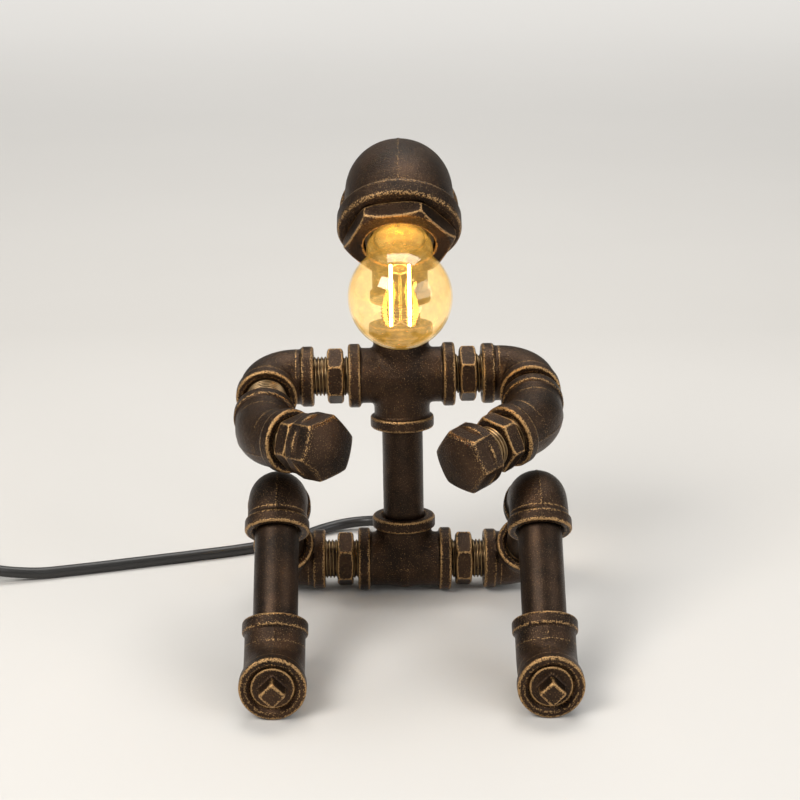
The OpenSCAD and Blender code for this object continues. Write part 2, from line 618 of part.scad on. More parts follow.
// Coil: one solid round all its turns, with the straight ends of the cord
module cord_coil() color(black) translate(coil_at) {
    r = cord_d / 2;
    c = r / 2;
    a = coil_inner_r - r;
    b = coil_r + r;
    t = coil_top_r + r;
    h = coil_layer;
    rotate_extrude() polygon([[a, c - r], [a + c, -r], [b - c, -r], [b, c - r], [b, h - r], [t - c, h - r],
        [t, h - r + c], [t, h + r - c], [t - c, h + r], [a + c, h + r], [a, h + r - c]]);
    translate([0, coil_r, 0]) rotate([0, 90, 0]) cylinder(r = r, h = coil_start[0] - coil_at[0]);
    translate([0, coil_top_r, h]) rotate([0, -90, 0]) cylinder(r = r, h = coil_at[0] - coil_end[0]);
}
function path_l(p) = len(p) < 2 ? 0 : norm(p[1] - p[0]) + path_l([for (i = [1:len(p) - 1]) p[i]]);
echo(cord_length = path_l(run(lead_route, 3)) + switch_l + path_l(run(link_route, 2))
    + norm(coil_start - coil_path[0]) + path_l(coil_path) + norm(coil_end - coil_path[coil_count])
    + path_l(run(tail_route, 2)));

// Tie: a strap right round the coil's turns, on the side away from the lamp
tie_w = 8;
tie_play = 0.4;
tie_angle = 200;
module cord_tie() {
    in_r = coil_inner_r - floor_z - tie_play;
    span = coil_top_r + floor_z + tie_play - in_r;
    top = coil_z + coil_layer + floor_z + tie_play;
    color(cream) translate([coil_at[0], coil_at[1], 0]) rotate([0, 0, tie_angle]) difference() {
        translate([in_r - tie_t, -tie_w / 2, 0]) cube([span + 2 * tie_t, tie_w, top + tie_t]);
        translate([in_r, -tie_w, tie_t]) cube([span, 2 * tie_w, top - tie_t]);
    }
}

// Switch on the cord: base and cover shells, and a rocker on a pin across the switch
switch_wall = 2;
switch_seam = 8;                         // height of the joint between base and cover
rocker_l = 17;
rocker_w = 9;
rocker_crown = 12;                       // radius of the rocker's top
rocker_rise = 2;                         // how far the rocker stands above the cover
rocker_pin_r = 1.5;
rocker_play = 0.4;                       // beside the rocker
rocker_end_play = 0.9;                   // before and behind it, for its tilt
rocker_tilt = 8;                         // way it leans at rest: switched on
rocker_z = switch_h - 5;                 // height of the rocker's pin
lug_t = 2.2;                             // ear of the cover that holds the rocker's pin
lug_l = 8;
lug_y = rocker_w / 2 + rocker_play;
module switch_frame() translate([switch_start[0], switch_start[1], 0]) rotate([0, 0, 180])
    translate([switch_l / 2, 0, 0]) children();
// Body outline: straight sides with a quarter round at each corner
module switch_block(l, w, h) linear_extrude(h) {
    c = w / 3;
    square([l - 2 * c, w], center = true);
    square([l, w - 2 * c], center = true);
    for (x = [-1, 1], y = [-1, 1]) translate([x * (l / 2 - c), y * (w / 2 - c)]) circle(r = c);
}
module switch_hollow(h) switch_block(switch_l - 4 * switch_wall, switch_w - 2 * switch_wall, h);
module switch_base() switch_frame() color(black) difference() {
    switch_block(switch_l, switch_w, switch_seam);
    translate([0, 0, switch_wall]) switch_hollow(switch_h);
}
module switch_cover() switch_frame() color(black) {
    rise = switch_h - switch_seam;
    difference() {
        translate([0, 0, switch_seam]) switch_block(switch_l, switch_w, rise);
        translate([0, 0, switch_seam - lap]) switch_hollow(rise - switch_wall + lap);
        translate([-rocker_l / 2 - rocker_end_play, -lug_y, 0])
            cube([rocker_l + 2 * rocker_end_play, 2 * lug_y, 2 * switch_h]);
    }
    for (y = [-1, 1]) difference() {
        translate([-lug_l / 2, y * (lug_y + lug_t / 2) - lug_t / 2, switch_seam])
            cube([lug_l, lug_t, rise - switch_wall / 2]);
        translate([0, y * (lug_y + lug_t / 2), rocker_z]) rotate([90, 0, 0])
            cylinder(r = rocker_pin_r + thread_play, h = 2 * lug_t, center = true);
    }
}
module switch_rocker() switch_frame() translate([0, 0, rocker_z]) rotate([0, rocker_tilt, 0]) color(cream) {
    intersection() {
        translate([-rocker_l / 2, -rocker_w / 2, -3]) cube([rocker_l, rocker_w, switch_h]);
        translate([0, 0, switch_h + rocker_rise - rocker_crown - rocker_z]) rotate([90, 0, 0])
            cylinder(r = rocker_crown, h = rocker_w, center = true);
    }
    rotate([90, 0, 0]) cylinder(r = rocker_pin_r, h = 2 * (lug_y + lug_t - 0.4), center = true);
}

// Plug with two round pins; its axis runs along +Z in its own frame
plug_body_l = 34;
plug_tail_l = 17;                        // round tail that the cord enters
plug_w = 26;
plug_h = 14;
plug_corner = 2;
plug_pin_d = 4;
plug_pin_gap = 19;
plug_pin_l = 19;
module plug_frame() translate(plug_at) aim(-RIGHT, UP) children();
module plug_body() plug_frame() color(black) {
    head_l = plug_body_l - plug_tail_l;
    tail_r = plug_h / 2 - 1.5;
    rotate_extrude() polygon([[0, 0], [cord_d / 2 + 1, 0], [tail_r, plug_tail_l - lap],
        [tail_r, plug_tail_l + lap], [0, plug_tail_l + lap]]);
    translate([0, 0, plug_tail_l]) intersection() {
        linear_extrude(head_l) {
            square([plug_h - 2 * plug_corner, plug_w], center = true);
            square([plug_h, plug_w - 2 * plug_corner], center = true);
            for (x = [-1, 1], y = [-1, 1])
                translate([x * (plug_h / 2 - plug_corner), y * (plug_w / 2 - plug_corner)])
                    circle(r = plug_corner);
        }
        rotate([90, 0, 90]) linear_extrude(plug_h + 2 * lap, center = true)
            polygon([[-plug_w / 2, head_l / 2], [-plug_h / 2, 0], [plug_h / 2, 0], [plug_w / 2, head_l / 2],
                [plug_w / 2, head_l + lap], [-plug_w / 2, head_l + lap]]);
    }
}
module plug_pins() plug_frame() color("silver") for (y = [-1, 1])
    translate([0, y * plug_pin_gap / 2, plug_body_l]) rotate_extrude() polygon([[0, 0], [plug_pin_d / 2, 0],
        [plug_pin_d / 2, plug_pin_l - 1], [plug_pin_d / 2 - 1, plug_pin_l], [0, plug_pin_l]]);

hip_tee();
hip_nipple(-1);  // hip_nipple_left
hip_nipple(1);  // hip_nipple_right
hip_elbow(-1);  // hip_elbow_left
hip_elbow(1);  // hip_elbow_right
thigh_nipple(-1);  // thigh_nipple_left
thigh_nipple(1);  // thigh_nipple_right
knee_elbow(-1);  // knee_elbow_left
knee_elbow(1);  // knee_elbow_right
shin_pipe(-1);  // shin_pipe_left
shin_pipe(1);  // shin_pipe_right
foot_elbow(-1);  // foot_elbow_left
foot_elbow(1);  // foot_elbow_right
foot_plug(-1);  // foot_plug_left
foot_plug(1);  // foot_plug_right
spine_pipe();
shoulder_cross();
shoulder_nipple(-1);  // shoulder_nipple_left
shoulder_nipple(1);  // shoulder_nipple_right
neck_nipple();
upper_elbow(-1);  // upper_elbow_left
upper_elbow(1);  // upper_elbow_right
arm_nipple(-1);  // arm_nipple_left
arm_nipple(1);  // arm_nipple_right
forearm_elbow(-1);  // forearm_elbow_left
forearm_elbow(1);  // forearm_elbow_right
wrist_nipple(-1);  // wrist_nipple_left
wrist_nipple(1);  // wrist_nipple_right
fist_cap(-1);  // fist_cap_left
fist_cap(1);  // fist_cap_right
neck_elbow();
head_nipple();
head_bushing();
head_elbow();
face_bushing();
lampholder();
socket_shell();
centre_contact();
bulb_cap();
bulb_glass();
bulb_stem();
bulb_filaments();
inner_lead();
head_lead();
cord_gland();
strain_relief();
cord_lead();
cord_link();
cord_coil();
cord_tail();
cord_tie();
switch_base();
switch_cover();
switch_rocker();
plug_body();
plug_pins();
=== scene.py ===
import math

import bpy
import numpy as np
from mathutils import Matrix, Vector


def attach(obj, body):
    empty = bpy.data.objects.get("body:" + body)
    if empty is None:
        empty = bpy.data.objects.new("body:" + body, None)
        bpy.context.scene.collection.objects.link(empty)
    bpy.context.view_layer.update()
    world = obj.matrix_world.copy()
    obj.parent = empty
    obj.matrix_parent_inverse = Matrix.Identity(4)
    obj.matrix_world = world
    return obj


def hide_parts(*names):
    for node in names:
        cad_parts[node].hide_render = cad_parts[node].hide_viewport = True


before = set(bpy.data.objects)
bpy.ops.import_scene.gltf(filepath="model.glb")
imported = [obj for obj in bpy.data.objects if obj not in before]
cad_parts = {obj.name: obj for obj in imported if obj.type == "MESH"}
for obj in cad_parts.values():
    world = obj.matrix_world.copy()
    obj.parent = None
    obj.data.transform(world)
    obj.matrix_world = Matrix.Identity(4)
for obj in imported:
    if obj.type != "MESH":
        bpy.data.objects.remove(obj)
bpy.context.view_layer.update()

scene = bpy.context.scene
MM = 0.001

# ---------- sizes, mm
# These repeat the sizes of the part, so each piece is made where its node is.

PIPE_D = 21.3
THREAD_D = 20.5
THREAD_REACH = 12
SCREWED_IN = 5  # drawn length of a thread inside a mouth
PIPE_PITCH = 1.814
HEAD_PITCH = 2.309
BULB_PITCH = 3.6
BODY_R = 14.3
BEAD_R = 15.6
TEE_BEAD_R = 16.5
BEAD_W = 6.3
ELBOW_A = 21.5
ARM_ELBOW_A = 23.5
BEND45_A = 22
TEE_A = 24.5
CROSS_A = 27.5
HEX_AF = 25.6
HEX_W = 8.5
SHORT_THREAD = 2.5
LEG_RISE = 45
THIGH_L = 88
HIP_THREAD = 6.5
PLUG_SQ = 9.5
PLUG_OUT = 7
PLUG_RECESS = 1
SPINE_L = 100
TORSO_LEAN = 5
SIDE_LEAN = 1
SHOULDER_THREAD = {-1: 7, 1: 3}
ARM_DROOP = 21
ARM_GAP = {-1: 16, 1: 7}
ARM_TURN = {-1: 20, 1: 0}
WRIST_THREAD = {-1: 2, 1: 9}
CAP_L = 17.5
CAP_AF = 28.6
NECK_GAP = 11
NECK_SWING = -0.9
HEAD_SWING = -0.3
NAPE_GAP = 7
HEAD_R = 25.75
HEAD_BEAD_R = 29.25
HEAD_BEAD_W = 9
HEAD_A = 36
HEAD_THREAD_D = 41.9
FACE_AF = 46
FACE_W = 8.3
FACE_TURN = 7.5
FACE_BORE_R = 16.8
NAPE_W = 6
HOLDER_D = 33
HOLDER_L = 33
CAP_D = 26.3
GLOBE_R = 24
GLOBE_OUT = 29
NECK_R = 15.5
FILAMENT_L = 30
CORD_D = 6
RELIEF_L = 28
COIL_TURNS = 2.5
COIL_GAP = 0.5
SWITCH_L = 58
SWITCH_W = 25
SWITCH_H = 16

BEND_ROOM = BEAD_W + 2.4  # from an elbow's face to where its bend starts
HIP_GAP = SHORT_THREAD + HEX_W + HIP_THREAD
SHOULDER_GAP = {s: SHORT_THREAD + HEX_W + t for s, t in SHOULDER_THREAD.items()}
WRIST_GAP = {s: SHORT_THREAD + HEX_W + t for s, t in WRIST_THREAD.items()}
HIP_X = TEE_A + HIP_GAP + ELBOW_A
SHOULDER_X = {s: CROSS_A + g + ARM_ELBOW_A for s, g in SHOULDER_GAP.items()}
HIP_Z = TEE_BEAD_R
SHIN_L = THIGH_L + (TEE_BEAD_R - BEAD_R) / math.cos(math.radians(LEG_RISE))
NECK_UP = CROSS_A + NECK_GAP + BEND45_A
NAPE_L = BEND45_A + NAPE_GAP + NAPE_W + HEAD_A
FACE_S = HEAD_A + FACE_W
HOLDER_TOP = FACE_S - 2.5
HOLDER_S = HOLDER_TOP - HOLDER_L
HOLDER_FLOOR = HOLDER_S + 3
CAP_TOP = HOLDER_TOP - 2
CONTACT_TOP = HOLDER_FLOOR + 1.5
CAP_BOTTOM = CONTACT_TOP + 0.3
GLOBE_S = FACE_S + GLOBE_OUT

# ---------- frames

RIGHT = np.array([1.0, 0, 0])
FRONT = np.array([0, -1.0, 0])
UP = np.array([0, 0, 1.0])
SIDES = (("left", -1), ("right", 1))


def unit(v):
    v = np.asarray(v, float)
    return v / np.linalg.norm(v)


def move(x, y, z):
    m = np.eye(4)
    m[:3, 3] = x, y, z
    return m


def about(axis, deg):
    """Turns by deg about an axis through the origin."""
    return np.array(Matrix.Rotation(math.radians(deg), 4, Vector(axis)))


def about_x(deg):
    return about(RIGHT, deg)


def about_z(deg):
    return about(UP, deg)


def aim(a, b):
    """Turns +Z to the direction a and +X to the side of b."""
    z = unit(a)
    y = unit(np.cross(z, b))
    m = np.eye(4)
    m[:3, 0], m[:3, 1], m[:3, 2] = np.cross(y, z), y, z
    return m


def leg(side):
    return move(side * HIP_X, 0, HIP_Z) @ about_x(-LEG_RISE)


def knee(side):
    return leg(side) @ move(0, -THIGH_L, 0)


def foot(side):
    return knee(side) @ move(0, 0, -SHIN_L)


HIPS = move(0, 0, HIP_Z) @ about_x(-TORSO_LEAN)
TORSO = HIPS @ about((0, 1, 0), -SIDE_LEAN)
SHOULDER = TORSO @ move(0, 0, SPINE_L)
TOE = unit(FRONT - UP)
NAPE = unit(FRONT + UP)
GAZE = unit(FRONT - UP)
NECK = SHOULDER @ move(0, 0, NECK_UP) @ about_z(NECK_SWING)
HEAD = NECK @ move(*(NAPE_L * NAPE)) @ about(NAPE, HEAD_SWING)
LOOK = HEAD @ aim(GAZE, NAPE)


def arm_angle():
    """Angle of an upper arm below square to the torso: it lies a fixed angle above the line to the knee."""
    rise, lean = math.radians(LEG_RISE), math.radians(TORSO_LEAN)
    inside = (ELBOW_A - BEND_ROOM) * (math.sqrt(2) - 1)
    ahead = THIGH_L * math.cos(rise) + SPINE_L * math.sin(lean)
    below = SPINE_L * math.cos(lean) - THIGH_L * math.sin(rise) + inside
    return TORSO_LEAN + math.degrees(math.atan2(below, ahead)) - ARM_DROOP


def arm(side):
    return SHOULDER @ move(side * SHOULDER_X[side], 0, 0) @ about_x(arm_angle())


def forearm(side):
    return arm(side) @ move(0, -ARM_ELBOW_A - ARM_GAP[side] - BEND45_A, 0)


def inward(side):
    turn = math.radians(ARM_TURN[side])
    return np.array([-side * math.cos(turn), 0, math.sin(turn)])


def fist_way(side):
    return unit(FRONT + inward(side))


# ---------- camera

CAM_AT = (-22.7, -882.2, 397.0)
CAM_PITCH = 18.3
CAM_YAW = 1.3
CAM_ROLL = 0.2
CAM_LENS = 81.0
SENSOR = 36.0


def add_camera():
    cam = bpy.data.cameras.new("camera")
    cam.lens = CAM_LENS
    cam.sensor_width = SENSOR
    cam.sensor_fit = "HORIZONTAL"
    cam.clip_start = 0.05
    cam.clip_end = 20
    ob = bpy.data.objects.new("camera", cam)
    scene.collection.objects.link(ob)
    p, y = math.radians(CAM_PITCH), math.radians(CAM_YAW)
    way = Vector((math.sin(y) * math.cos(p), math.cos(y) * math.cos(p), -math.sin(p)))
    right = Vector((math.cos(y), -math.sin(y), 0))
    up = right.cross(way)
    m = Matrix((right, up, -way)).transposed()
    roll = Matrix.Rotation(math.radians(CAM_ROLL), 3, "Z")
    ob.matrix_world = Matrix.Translation(Vector(CAM_AT) * MM) @ (m @ roll).to_4x4()
    scene.camera = ob


add_camera()

# ---------- materials


class Nodes:
    """Short calls for a material's node tree."""

    def __init__(self, name):
        self.mat = bpy.data.materials.new(name)
        self.mat.use_nodes = True
        self.tree = self.mat.node_tree
        self.shader = self.tree.nodes["Principled BSDF"]
        self.out = self.tree.nodes["Material Output"]
        self.where = self.add("ShaderNodeTexCoord").outputs["Object"]

    def add(self, kind, **values):
        n = self.tree.nodes.new(kind)
        for k, v in values.items():
            setattr(n, k, v)
        return n

    def link(self, a, b):
        self.tree.links.new(a, b)

    def put(self, sock, v):
        """Gives a socket a number, a colour or another node's output."""
        if isinstance(v, tuple):
            sock.default_value = (*v, 1)
        elif isinstance(v, (int, float)):
            sock.default_value = v
        else:
            self.link(v, sock)

    def noise(self, scale, detail, rough):
        n = self.add("ShaderNodeTexNoise")
        for name, v in (("Scale", scale), ("Detail", detail), ("Roughness", rough), ("Vector", self.where)):
            self.put(n.inputs[name], v)
        return n.outputs["Fac"]

    def cells(self, scale):
        n = self.add("ShaderNodeTexVoronoi")
        self.put(n.inputs["Scale"], scale)
        self.put(n.inputs["Vector"], self.where)
        return n.outputs["Distance"]

    def ramp(self, fac, stops):
        n = self.add("ShaderNodeValToRGB")
        e = n.color_ramp.elements
        while len(e) > 1:
            e.remove(e[-1])
        for i, (at, col) in enumerate(stops):
            el = e[0] if i == 0 else e.new(at)
            el.position = at
            el.color = (col, col, col, 1) if isinstance(col, (int, float)) else (*col, 1)
        self.link(fac, n.inputs["Fac"])
        return n.outputs["Color"]

    def math(self, op, a, b, clamp=False):
        n = self.add("ShaderNodeMath", operation=op, use_clamp=clamp)
        self.put(n.inputs[0], a)
        self.put(n.inputs[1], b)
        return n.outputs[0]

    def mix(self, fac, a, b):
        n = self.add("ShaderNodeMix", data_type="RGBA")
        for i, v in ((0, fac), (6, a), (7, b)):
            self.put(n.inputs[i], v)
        return n.outputs[2]

    def bump(self, height, strength, distance, normal=None):
        n = self.add("ShaderNodeBump")
        n.inputs["Strength"].default_value = strength
        n.inputs["Distance"].default_value = distance
        self.link(height, n.inputs["Height"])
        if normal is not None:
            self.link(normal, n.inputs["Normal"])
        return n.outputs["Normal"]

    def attribute(self, name):
        n = self.add("ShaderNodeAttribute", attribute_name=name)
        return n.outputs["Fac"]

    def use(self, **inputs):
        for k, v in inputs.items():
            self.put(self.shader.inputs[k.replace("_", " ")], v)


def iron_material(name, dark, brown, gold, grain, grain_depth, rough):
    """Cast iron under a rubbed bronze-black finish: grainy skin, brown patches, golden high spots."""
    m = Nodes(name)
    patches = m.noise(55, 5, 0.6)
    grains = m.cells(grain)
    fine = m.noise(grain * 1.6, 3, 0.6)
    grit = m.math("MULTIPLY", m.math("ADD", m.math("SUBTRACT", 1.0, grains), fine), 0.5)
    base = m.mix(m.ramp(patches, [(0.35, 0.0), (0.68, 1.0)]), dark, brown)
    edge = m.attribute("edge")
    high = m.math("MULTIPLY", m.math("SUBTRACT", grit, 0.57), 2.2)
    worn = m.math("ADD", m.math("MULTIPLY", edge, 0.8), high)
    speck = m.ramp(worn, [(0.12, 0.0), (0.55, 1.0)])
    colour = m.mix(m.math("MULTIPLY", speck, 0.8), base, gold)
    shine = m.ramp(m.noise(38, 4, 0.55), [(0.3, rough - 0.08), (0.7, rough + 0.1)])
    low = m.noise(120, 3, 0.5)
    n1 = m.bump(grit, 0.75, grain_depth * MM)
    n2 = m.bump(low, 0.35, 0.35 * MM, n1)
    m.use(Base_Color=colour, Metallic=0.78, Roughness=shine, Normal=n2, Specular_IOR_Level=0.3)
    return m.mat


IRON = iron_material("cast_iron", (0.019, 0.012, 0.008), (0.062, 0.034, 0.019), (0.52, 0.31, 0.13),
                     1350, 0.42, 0.38)
PIPE = iron_material("black_pipe", (0.017, 0.012, 0.009), (0.052, 0.030, 0.018), (0.40, 0.24, 0.11),
                     1900, 0.20, 0.36)


def thread_material():
    m = Nodes("cut_thread")
    wear = m.noise(180, 4, 0.6)
    colour = m.mix(m.ramp(wear, [(0.35, 0.0), (0.7, 1.0)]), (0.045, 0.030, 0.021), (0.26, 0.165, 0.08))
    crest = m.attribute("edge")
    colour = m.mix(m.math("MULTIPLY", crest, 0.7), colour, (0.52, 0.36, 0.18))
    m.use(Base_Color=colour, Metallic=0.85, Roughness=m.ramp(wear, [(0.3, 0.26), (0.7, 0.42)]),
          Normal=m.bump(m.noise(2600, 2, 0.5), 0.25, 0.08 * MM))
    return m.mat


THREAD = thread_material()


def brass_material(name, colour, rough):
    m = Nodes(name)
    cloud = m.noise(70, 4, 0.6)
    tone = m.mix(m.ramp(cloud, [(0.35, 0.0), (0.7, 1.0)]), colour, tuple(c * 0.68 for c in colour))
    m.use(Base_Color=tone, Metallic=1.0, Roughness=m.ramp(cloud, [(0.3, rough), (0.75, rough + 0.14)]),
          Normal=m.bump(m.noise(1900, 2, 0.5), 0.18, 0.06 * MM))
    return m.mat


BRASS = brass_material("brass", (0.68, 0.47, 0.20), 0.24)
CAP_BRASS = brass_material("cap_brass", (0.72, 0.55, 0.28), 0.22)


def plastic_material(name, colour, rough, grain, depth, sheen=0.0):
    m = Nodes(name)
    speck = m.noise(grain, 3, 0.55)
    cloud = m.noise(45, 3, 0.5)
    tone = m.mix(m.ramp(cloud, [(0.3, 0.0), (0.7, 1.0)]), colour, tuple(c * 0.8 for c in colour))
    m.use(Base_Color=tone, Roughness=m.ramp(speck, [(0.3, rough - 0.05), (0.7, rough + 0.08)]),
          Normal=m.bump(speck, 0.3, depth * MM), Sheen_Weight=sheen)
    return m.mat


HOLDER = plastic_material("holder_moulding", (0.030, 0.026, 0.022), 0.32, 900, 0.05)
BLACK = plastic_material("black_plastic", (0.024, 0.023, 0.022), 0.46, 1700, 0.10)
RUBBER = plastic_material("moulded_rubber", (0.022, 0.021, 0.020), 0.62, 1300, 0.10, 0.05)
SHEATH = plastic_material("cord_sheath", (0.020, 0.019, 0.018), 0.36, 700, 0.08)
WIRE = plastic_material("sleeved_wire", (0.05, 0.042, 0.035), 0.6, 1500, 0.12, 0.1)
IVORY = plastic_material("rocker_plastic", (0.60, 0.56, 0.49), 0.34, 900, 0.04)
STRAP = plastic_material("tie_strap", (0.62, 0.59, 0.54), 0.5, 1200, 0.08)


def pin_material():
    m = Nodes("nickel")
    brushed = m.noise(900, 3, 0.6)
    m.use(Base_Color=m.mix(brushed, (0.62, 0.61, 0.58), (0.74, 0.73, 0.70)), Metallic=1.0,
          Roughness=m.ramp(brushed, [(0.3, 0.18), (0.7, 0.3)]),
          Normal=m.bump(brushed, 0.12, 0.04 * MM))
    return m.mat


NICKEL = pin_material()


def glass_material(name, tint, glow, strength, rough=0.0):
    """Thin glass, mostly seen through, with a painted glow in dusty patches: emission that stands in for the
    filament's light scattered in the glass.
    """
    m = Nodes(name)
    clear = m.add("ShaderNodeBsdfTransparent")
    clear.inputs["Color"].default_value = (*tint, 1)
    gloss = m.add("ShaderNodeBsdfGlossy")
    gloss.inputs["Roughness"].default_value = 0.03 + rough
    gloss.inputs["Color"].default_value = (1, 0.95, 0.85, 1)
    m.link(m.bump(m.noise(60, 2, 0.4), 0.06, 0.3 * MM), gloss.inputs["Normal"])
  # the inner face reflects as a face seen from outside does, as the glass is thin
    inner = m.add("ShaderNodeNewGeometry").outputs["Backfacing"]
    ior = m.math("ADD", m.math("MULTIPLY", inner, 1 / GLASS_IOR - GLASS_IOR), GLASS_IOR)
    rim = m.add("ShaderNodeFresnel")
    m.link(ior, rim.inputs["IOR"])
    both = m.add("ShaderNodeMixShader")
    m.link(rim.outputs[0], both.inputs[0])
    m.link(clear.outputs[0], both.inputs[1])
    m.link(gloss.outputs[0], both.inputs[2])
    # painted glow: emission in dusty patches stands in for the filament's light scattered by the glass, which
    # is no lamp itself
    lit = m.add("ShaderNodeEmission")
    dust_and_painted_glow = m.math("MULTIPLY", m.ramp(m.noise(330, 5, 0.7), [(0.5, 0.35), (0.72, 1.0)]),
                  m.ramp(m.noise(90, 3, 0.5), [(0.3, 0.6), (0.7, 1.0)]))
    m.link(m.mix(dust_and_painted_glow, (0.0, 0.0, 0.0), glow), lit.inputs["Color"])
    lit.inputs["Strength"].default_value = strength
    total = m.add("ShaderNodeAddShader")
    m.link(both.outputs[0], total.inputs[0])
    m.link(lit.outputs[0], total.inputs[1])
    m.link(total.outputs[0], m.out.inputs["Surface"])
    return m.mat


GLASS_IOR = 1.48
GLASS = glass_material("bulb_glass", (1.0, 0.94, 0.80), (1.0, 0.60, 0.13), 0.32)
STEM_GLASS = glass_material("stem_glass", (1.0, 0.95, 0.82), (1.0, 0.70, 0.25), 0.35, 0.05)


def glow_material(name, colour, strength):
    m = Nodes(name)
    flicker = m.noise(400, 2, 0.5)
    brighter = tuple(min(1, c * 1.15) for c in colour)
    m.use(Base_Color=colour, Emission_Color=m.mix(flicker, colour, brighter), Emission_Strength=strength,
          Roughness=0.5)
    return m.mat


FILAMENT = glow_material("lit_filament", (1.0, 0.56, 0.16), 26.0)
HOOK = brass_material("lead_wire", (0.55, 0.47, 0.38), 0.3)

# ---------- meshes


def add_mesh(name, verts, faces, at, mats, body, nodes, slot, edge=None, which=None):
    """Makes a piece from points in mm in the frame 'at'; it rides on 'body' and replaces 'nodes'."""
    v = np.asarray(verts, float)
    v = (v @ at[:3, :3].T + at[:3, 3]) * MM
    me = bpy.data.meshes.new(name)
    me.from_pydata(v.tolist(), [], [list(map(int, f)) for f in faces])
    me.update()
    me.polygons.foreach_set("use_smooth", [True] * len(me.polygons))
    for mt in mats if isinstance(mats, (list, tuple)) else (mats,):
        me.materials.append(mt)
    if which is not None:
        me.polygons.foreach_set("material_index", list(map(int, which)))
    att = me.attributes.new("edge", "FLOAT", "POINT")
    att.data.foreach_set("value", np.zeros(len(v)) if edge is None else np.asarray(edge, float))
    me.validate()
    ob = bpy.data.objects.new(name, me)
    scene.collection.objects.link(ob)
    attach(ob, body)
    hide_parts(*nodes)
    return ob


def ring(r, z, n):
    """A ring of n points round Z, or its one point where r is 0."""
    if r < 1e-6:
        return [(0, 0, z)]
    return [(r * math.cos(2 * math.pi * k / n), r * math.sin(2 * math.pi * k / n), z) for k in range(n)]


def stack(rows, closed=False):
    """Skins a list of rings. One that goes up has its faces outwards; a row of one point ends the skin."""
    verts, index = [], []
    for row in rows:
        index.append(range(len(verts), len(verts) + len(row)))
        verts += row
    n = max(map(len, index))
    faces = []
    for a, b in zip(index, index[1:] + index[:1] if closed else index[1:]):
        for k in range(n):
            j = (k + 1) % n
            f = list(dict.fromkeys((a[k % len(a)], a[j % len(a)], b[j % len(b)], b[k % len(b)])))
            if len(f) > 2:
                faces.append(f)
    return verts, faces


def lathe(profile, n=64, closed=False):
    """Revolves points (r, z) round Z."""
    return stack([ring(r, z, n) for r, z in profile], closed)


def rounded(profile, radius, steps=4, closed=False):
    """Rounds the corners of a profile of (r, z, corner radius or None)."""
    pts = [np.array(p[:2], float) for p in profile]
    n = len(pts)
    out = []
    for i, p in enumerate(profile):
        r = p[2] if len(p) > 2 else radius
        if r <= 0 or (not closed and i in (0, n - 1)):
            out.append(tuple(pts[i]))
            continue
        a, b, c = pts[i - 1], pts[i], pts[(i + 1) % n]
        u, v = a - b, c - b
        lu, lv = np.linalg.norm(u), np.linalg.norm(v)
        r = min(r, lu * 0.45, lv * 0.45)
        s, e = b + u / lu * r, b + v / lv * r
        for k in range(steps + 1):
            t = k / steps
            out.append(tuple((1 - t) ** 2 * s + 2 * t * (1 - t) * b + t * t * e))
    return out


def join(*parts):
    verts, faces, which = [], [], []
    for i, (v, f) in enumerate(parts):
        k = len(verts)
        verts += [tuple(p) for p in v]
        faces += [[j + k for j in q] for q in f]
        which += [i] * len(f)
    return verts, faces, which


def placed(part, m):
    v, f = part
    v = np.asarray(v, float)
    return (v @ m[:3, :3].T + m[:3, 3]).tolist(), f


# ---- solids from a distance field, for cast pieces with fillets

MOUTH = (THREAD_D / 2 + 0.05, 1.9, 5.5)  # radius, width of the countersink, depth
STEP = 0.5  # grid of a pipe fitting
ROOM = 1.5  # grid beyond a face


def smin(a, b, k):
    h = np.clip(0.5 + 0.5 * (b - a) / k, 0, 1)
    return b * (1 - h) + a * h - k * h * (1 - h)


def smax(a, b, k):
    return -smin(-a, -b, k)


def tube_field(x, y, z, z0, z1, r, rr=0.0):
    """Cylinder round +Z from z0 to z1 with its edges rounded by rr."""
    qx = np.hypot(x, y) - (r - rr)
    qz = np.abs(z - (z0 + z1) / 2) - ((z1 - z0) / 2 - rr)
    return np.hypot(np.maximum(qx, 0), np.maximum(qz, 0)) + np.minimum(np.maximum(qx, qz), 0) - rr


def mouth_field(x, y, z, a, r, flare, depth):
    """Hole from the face at z = a inwards, with a countersink 'flare' wider."""
    rad = np.hypot(x, y)
    cone = (rad - (r + flare) + (a - z)) * 0.7071
    hole = np.maximum(rad - r, (a - depth) - z)
    return smin(hole, np.maximum(cone, (a - depth) - z), 0.3)


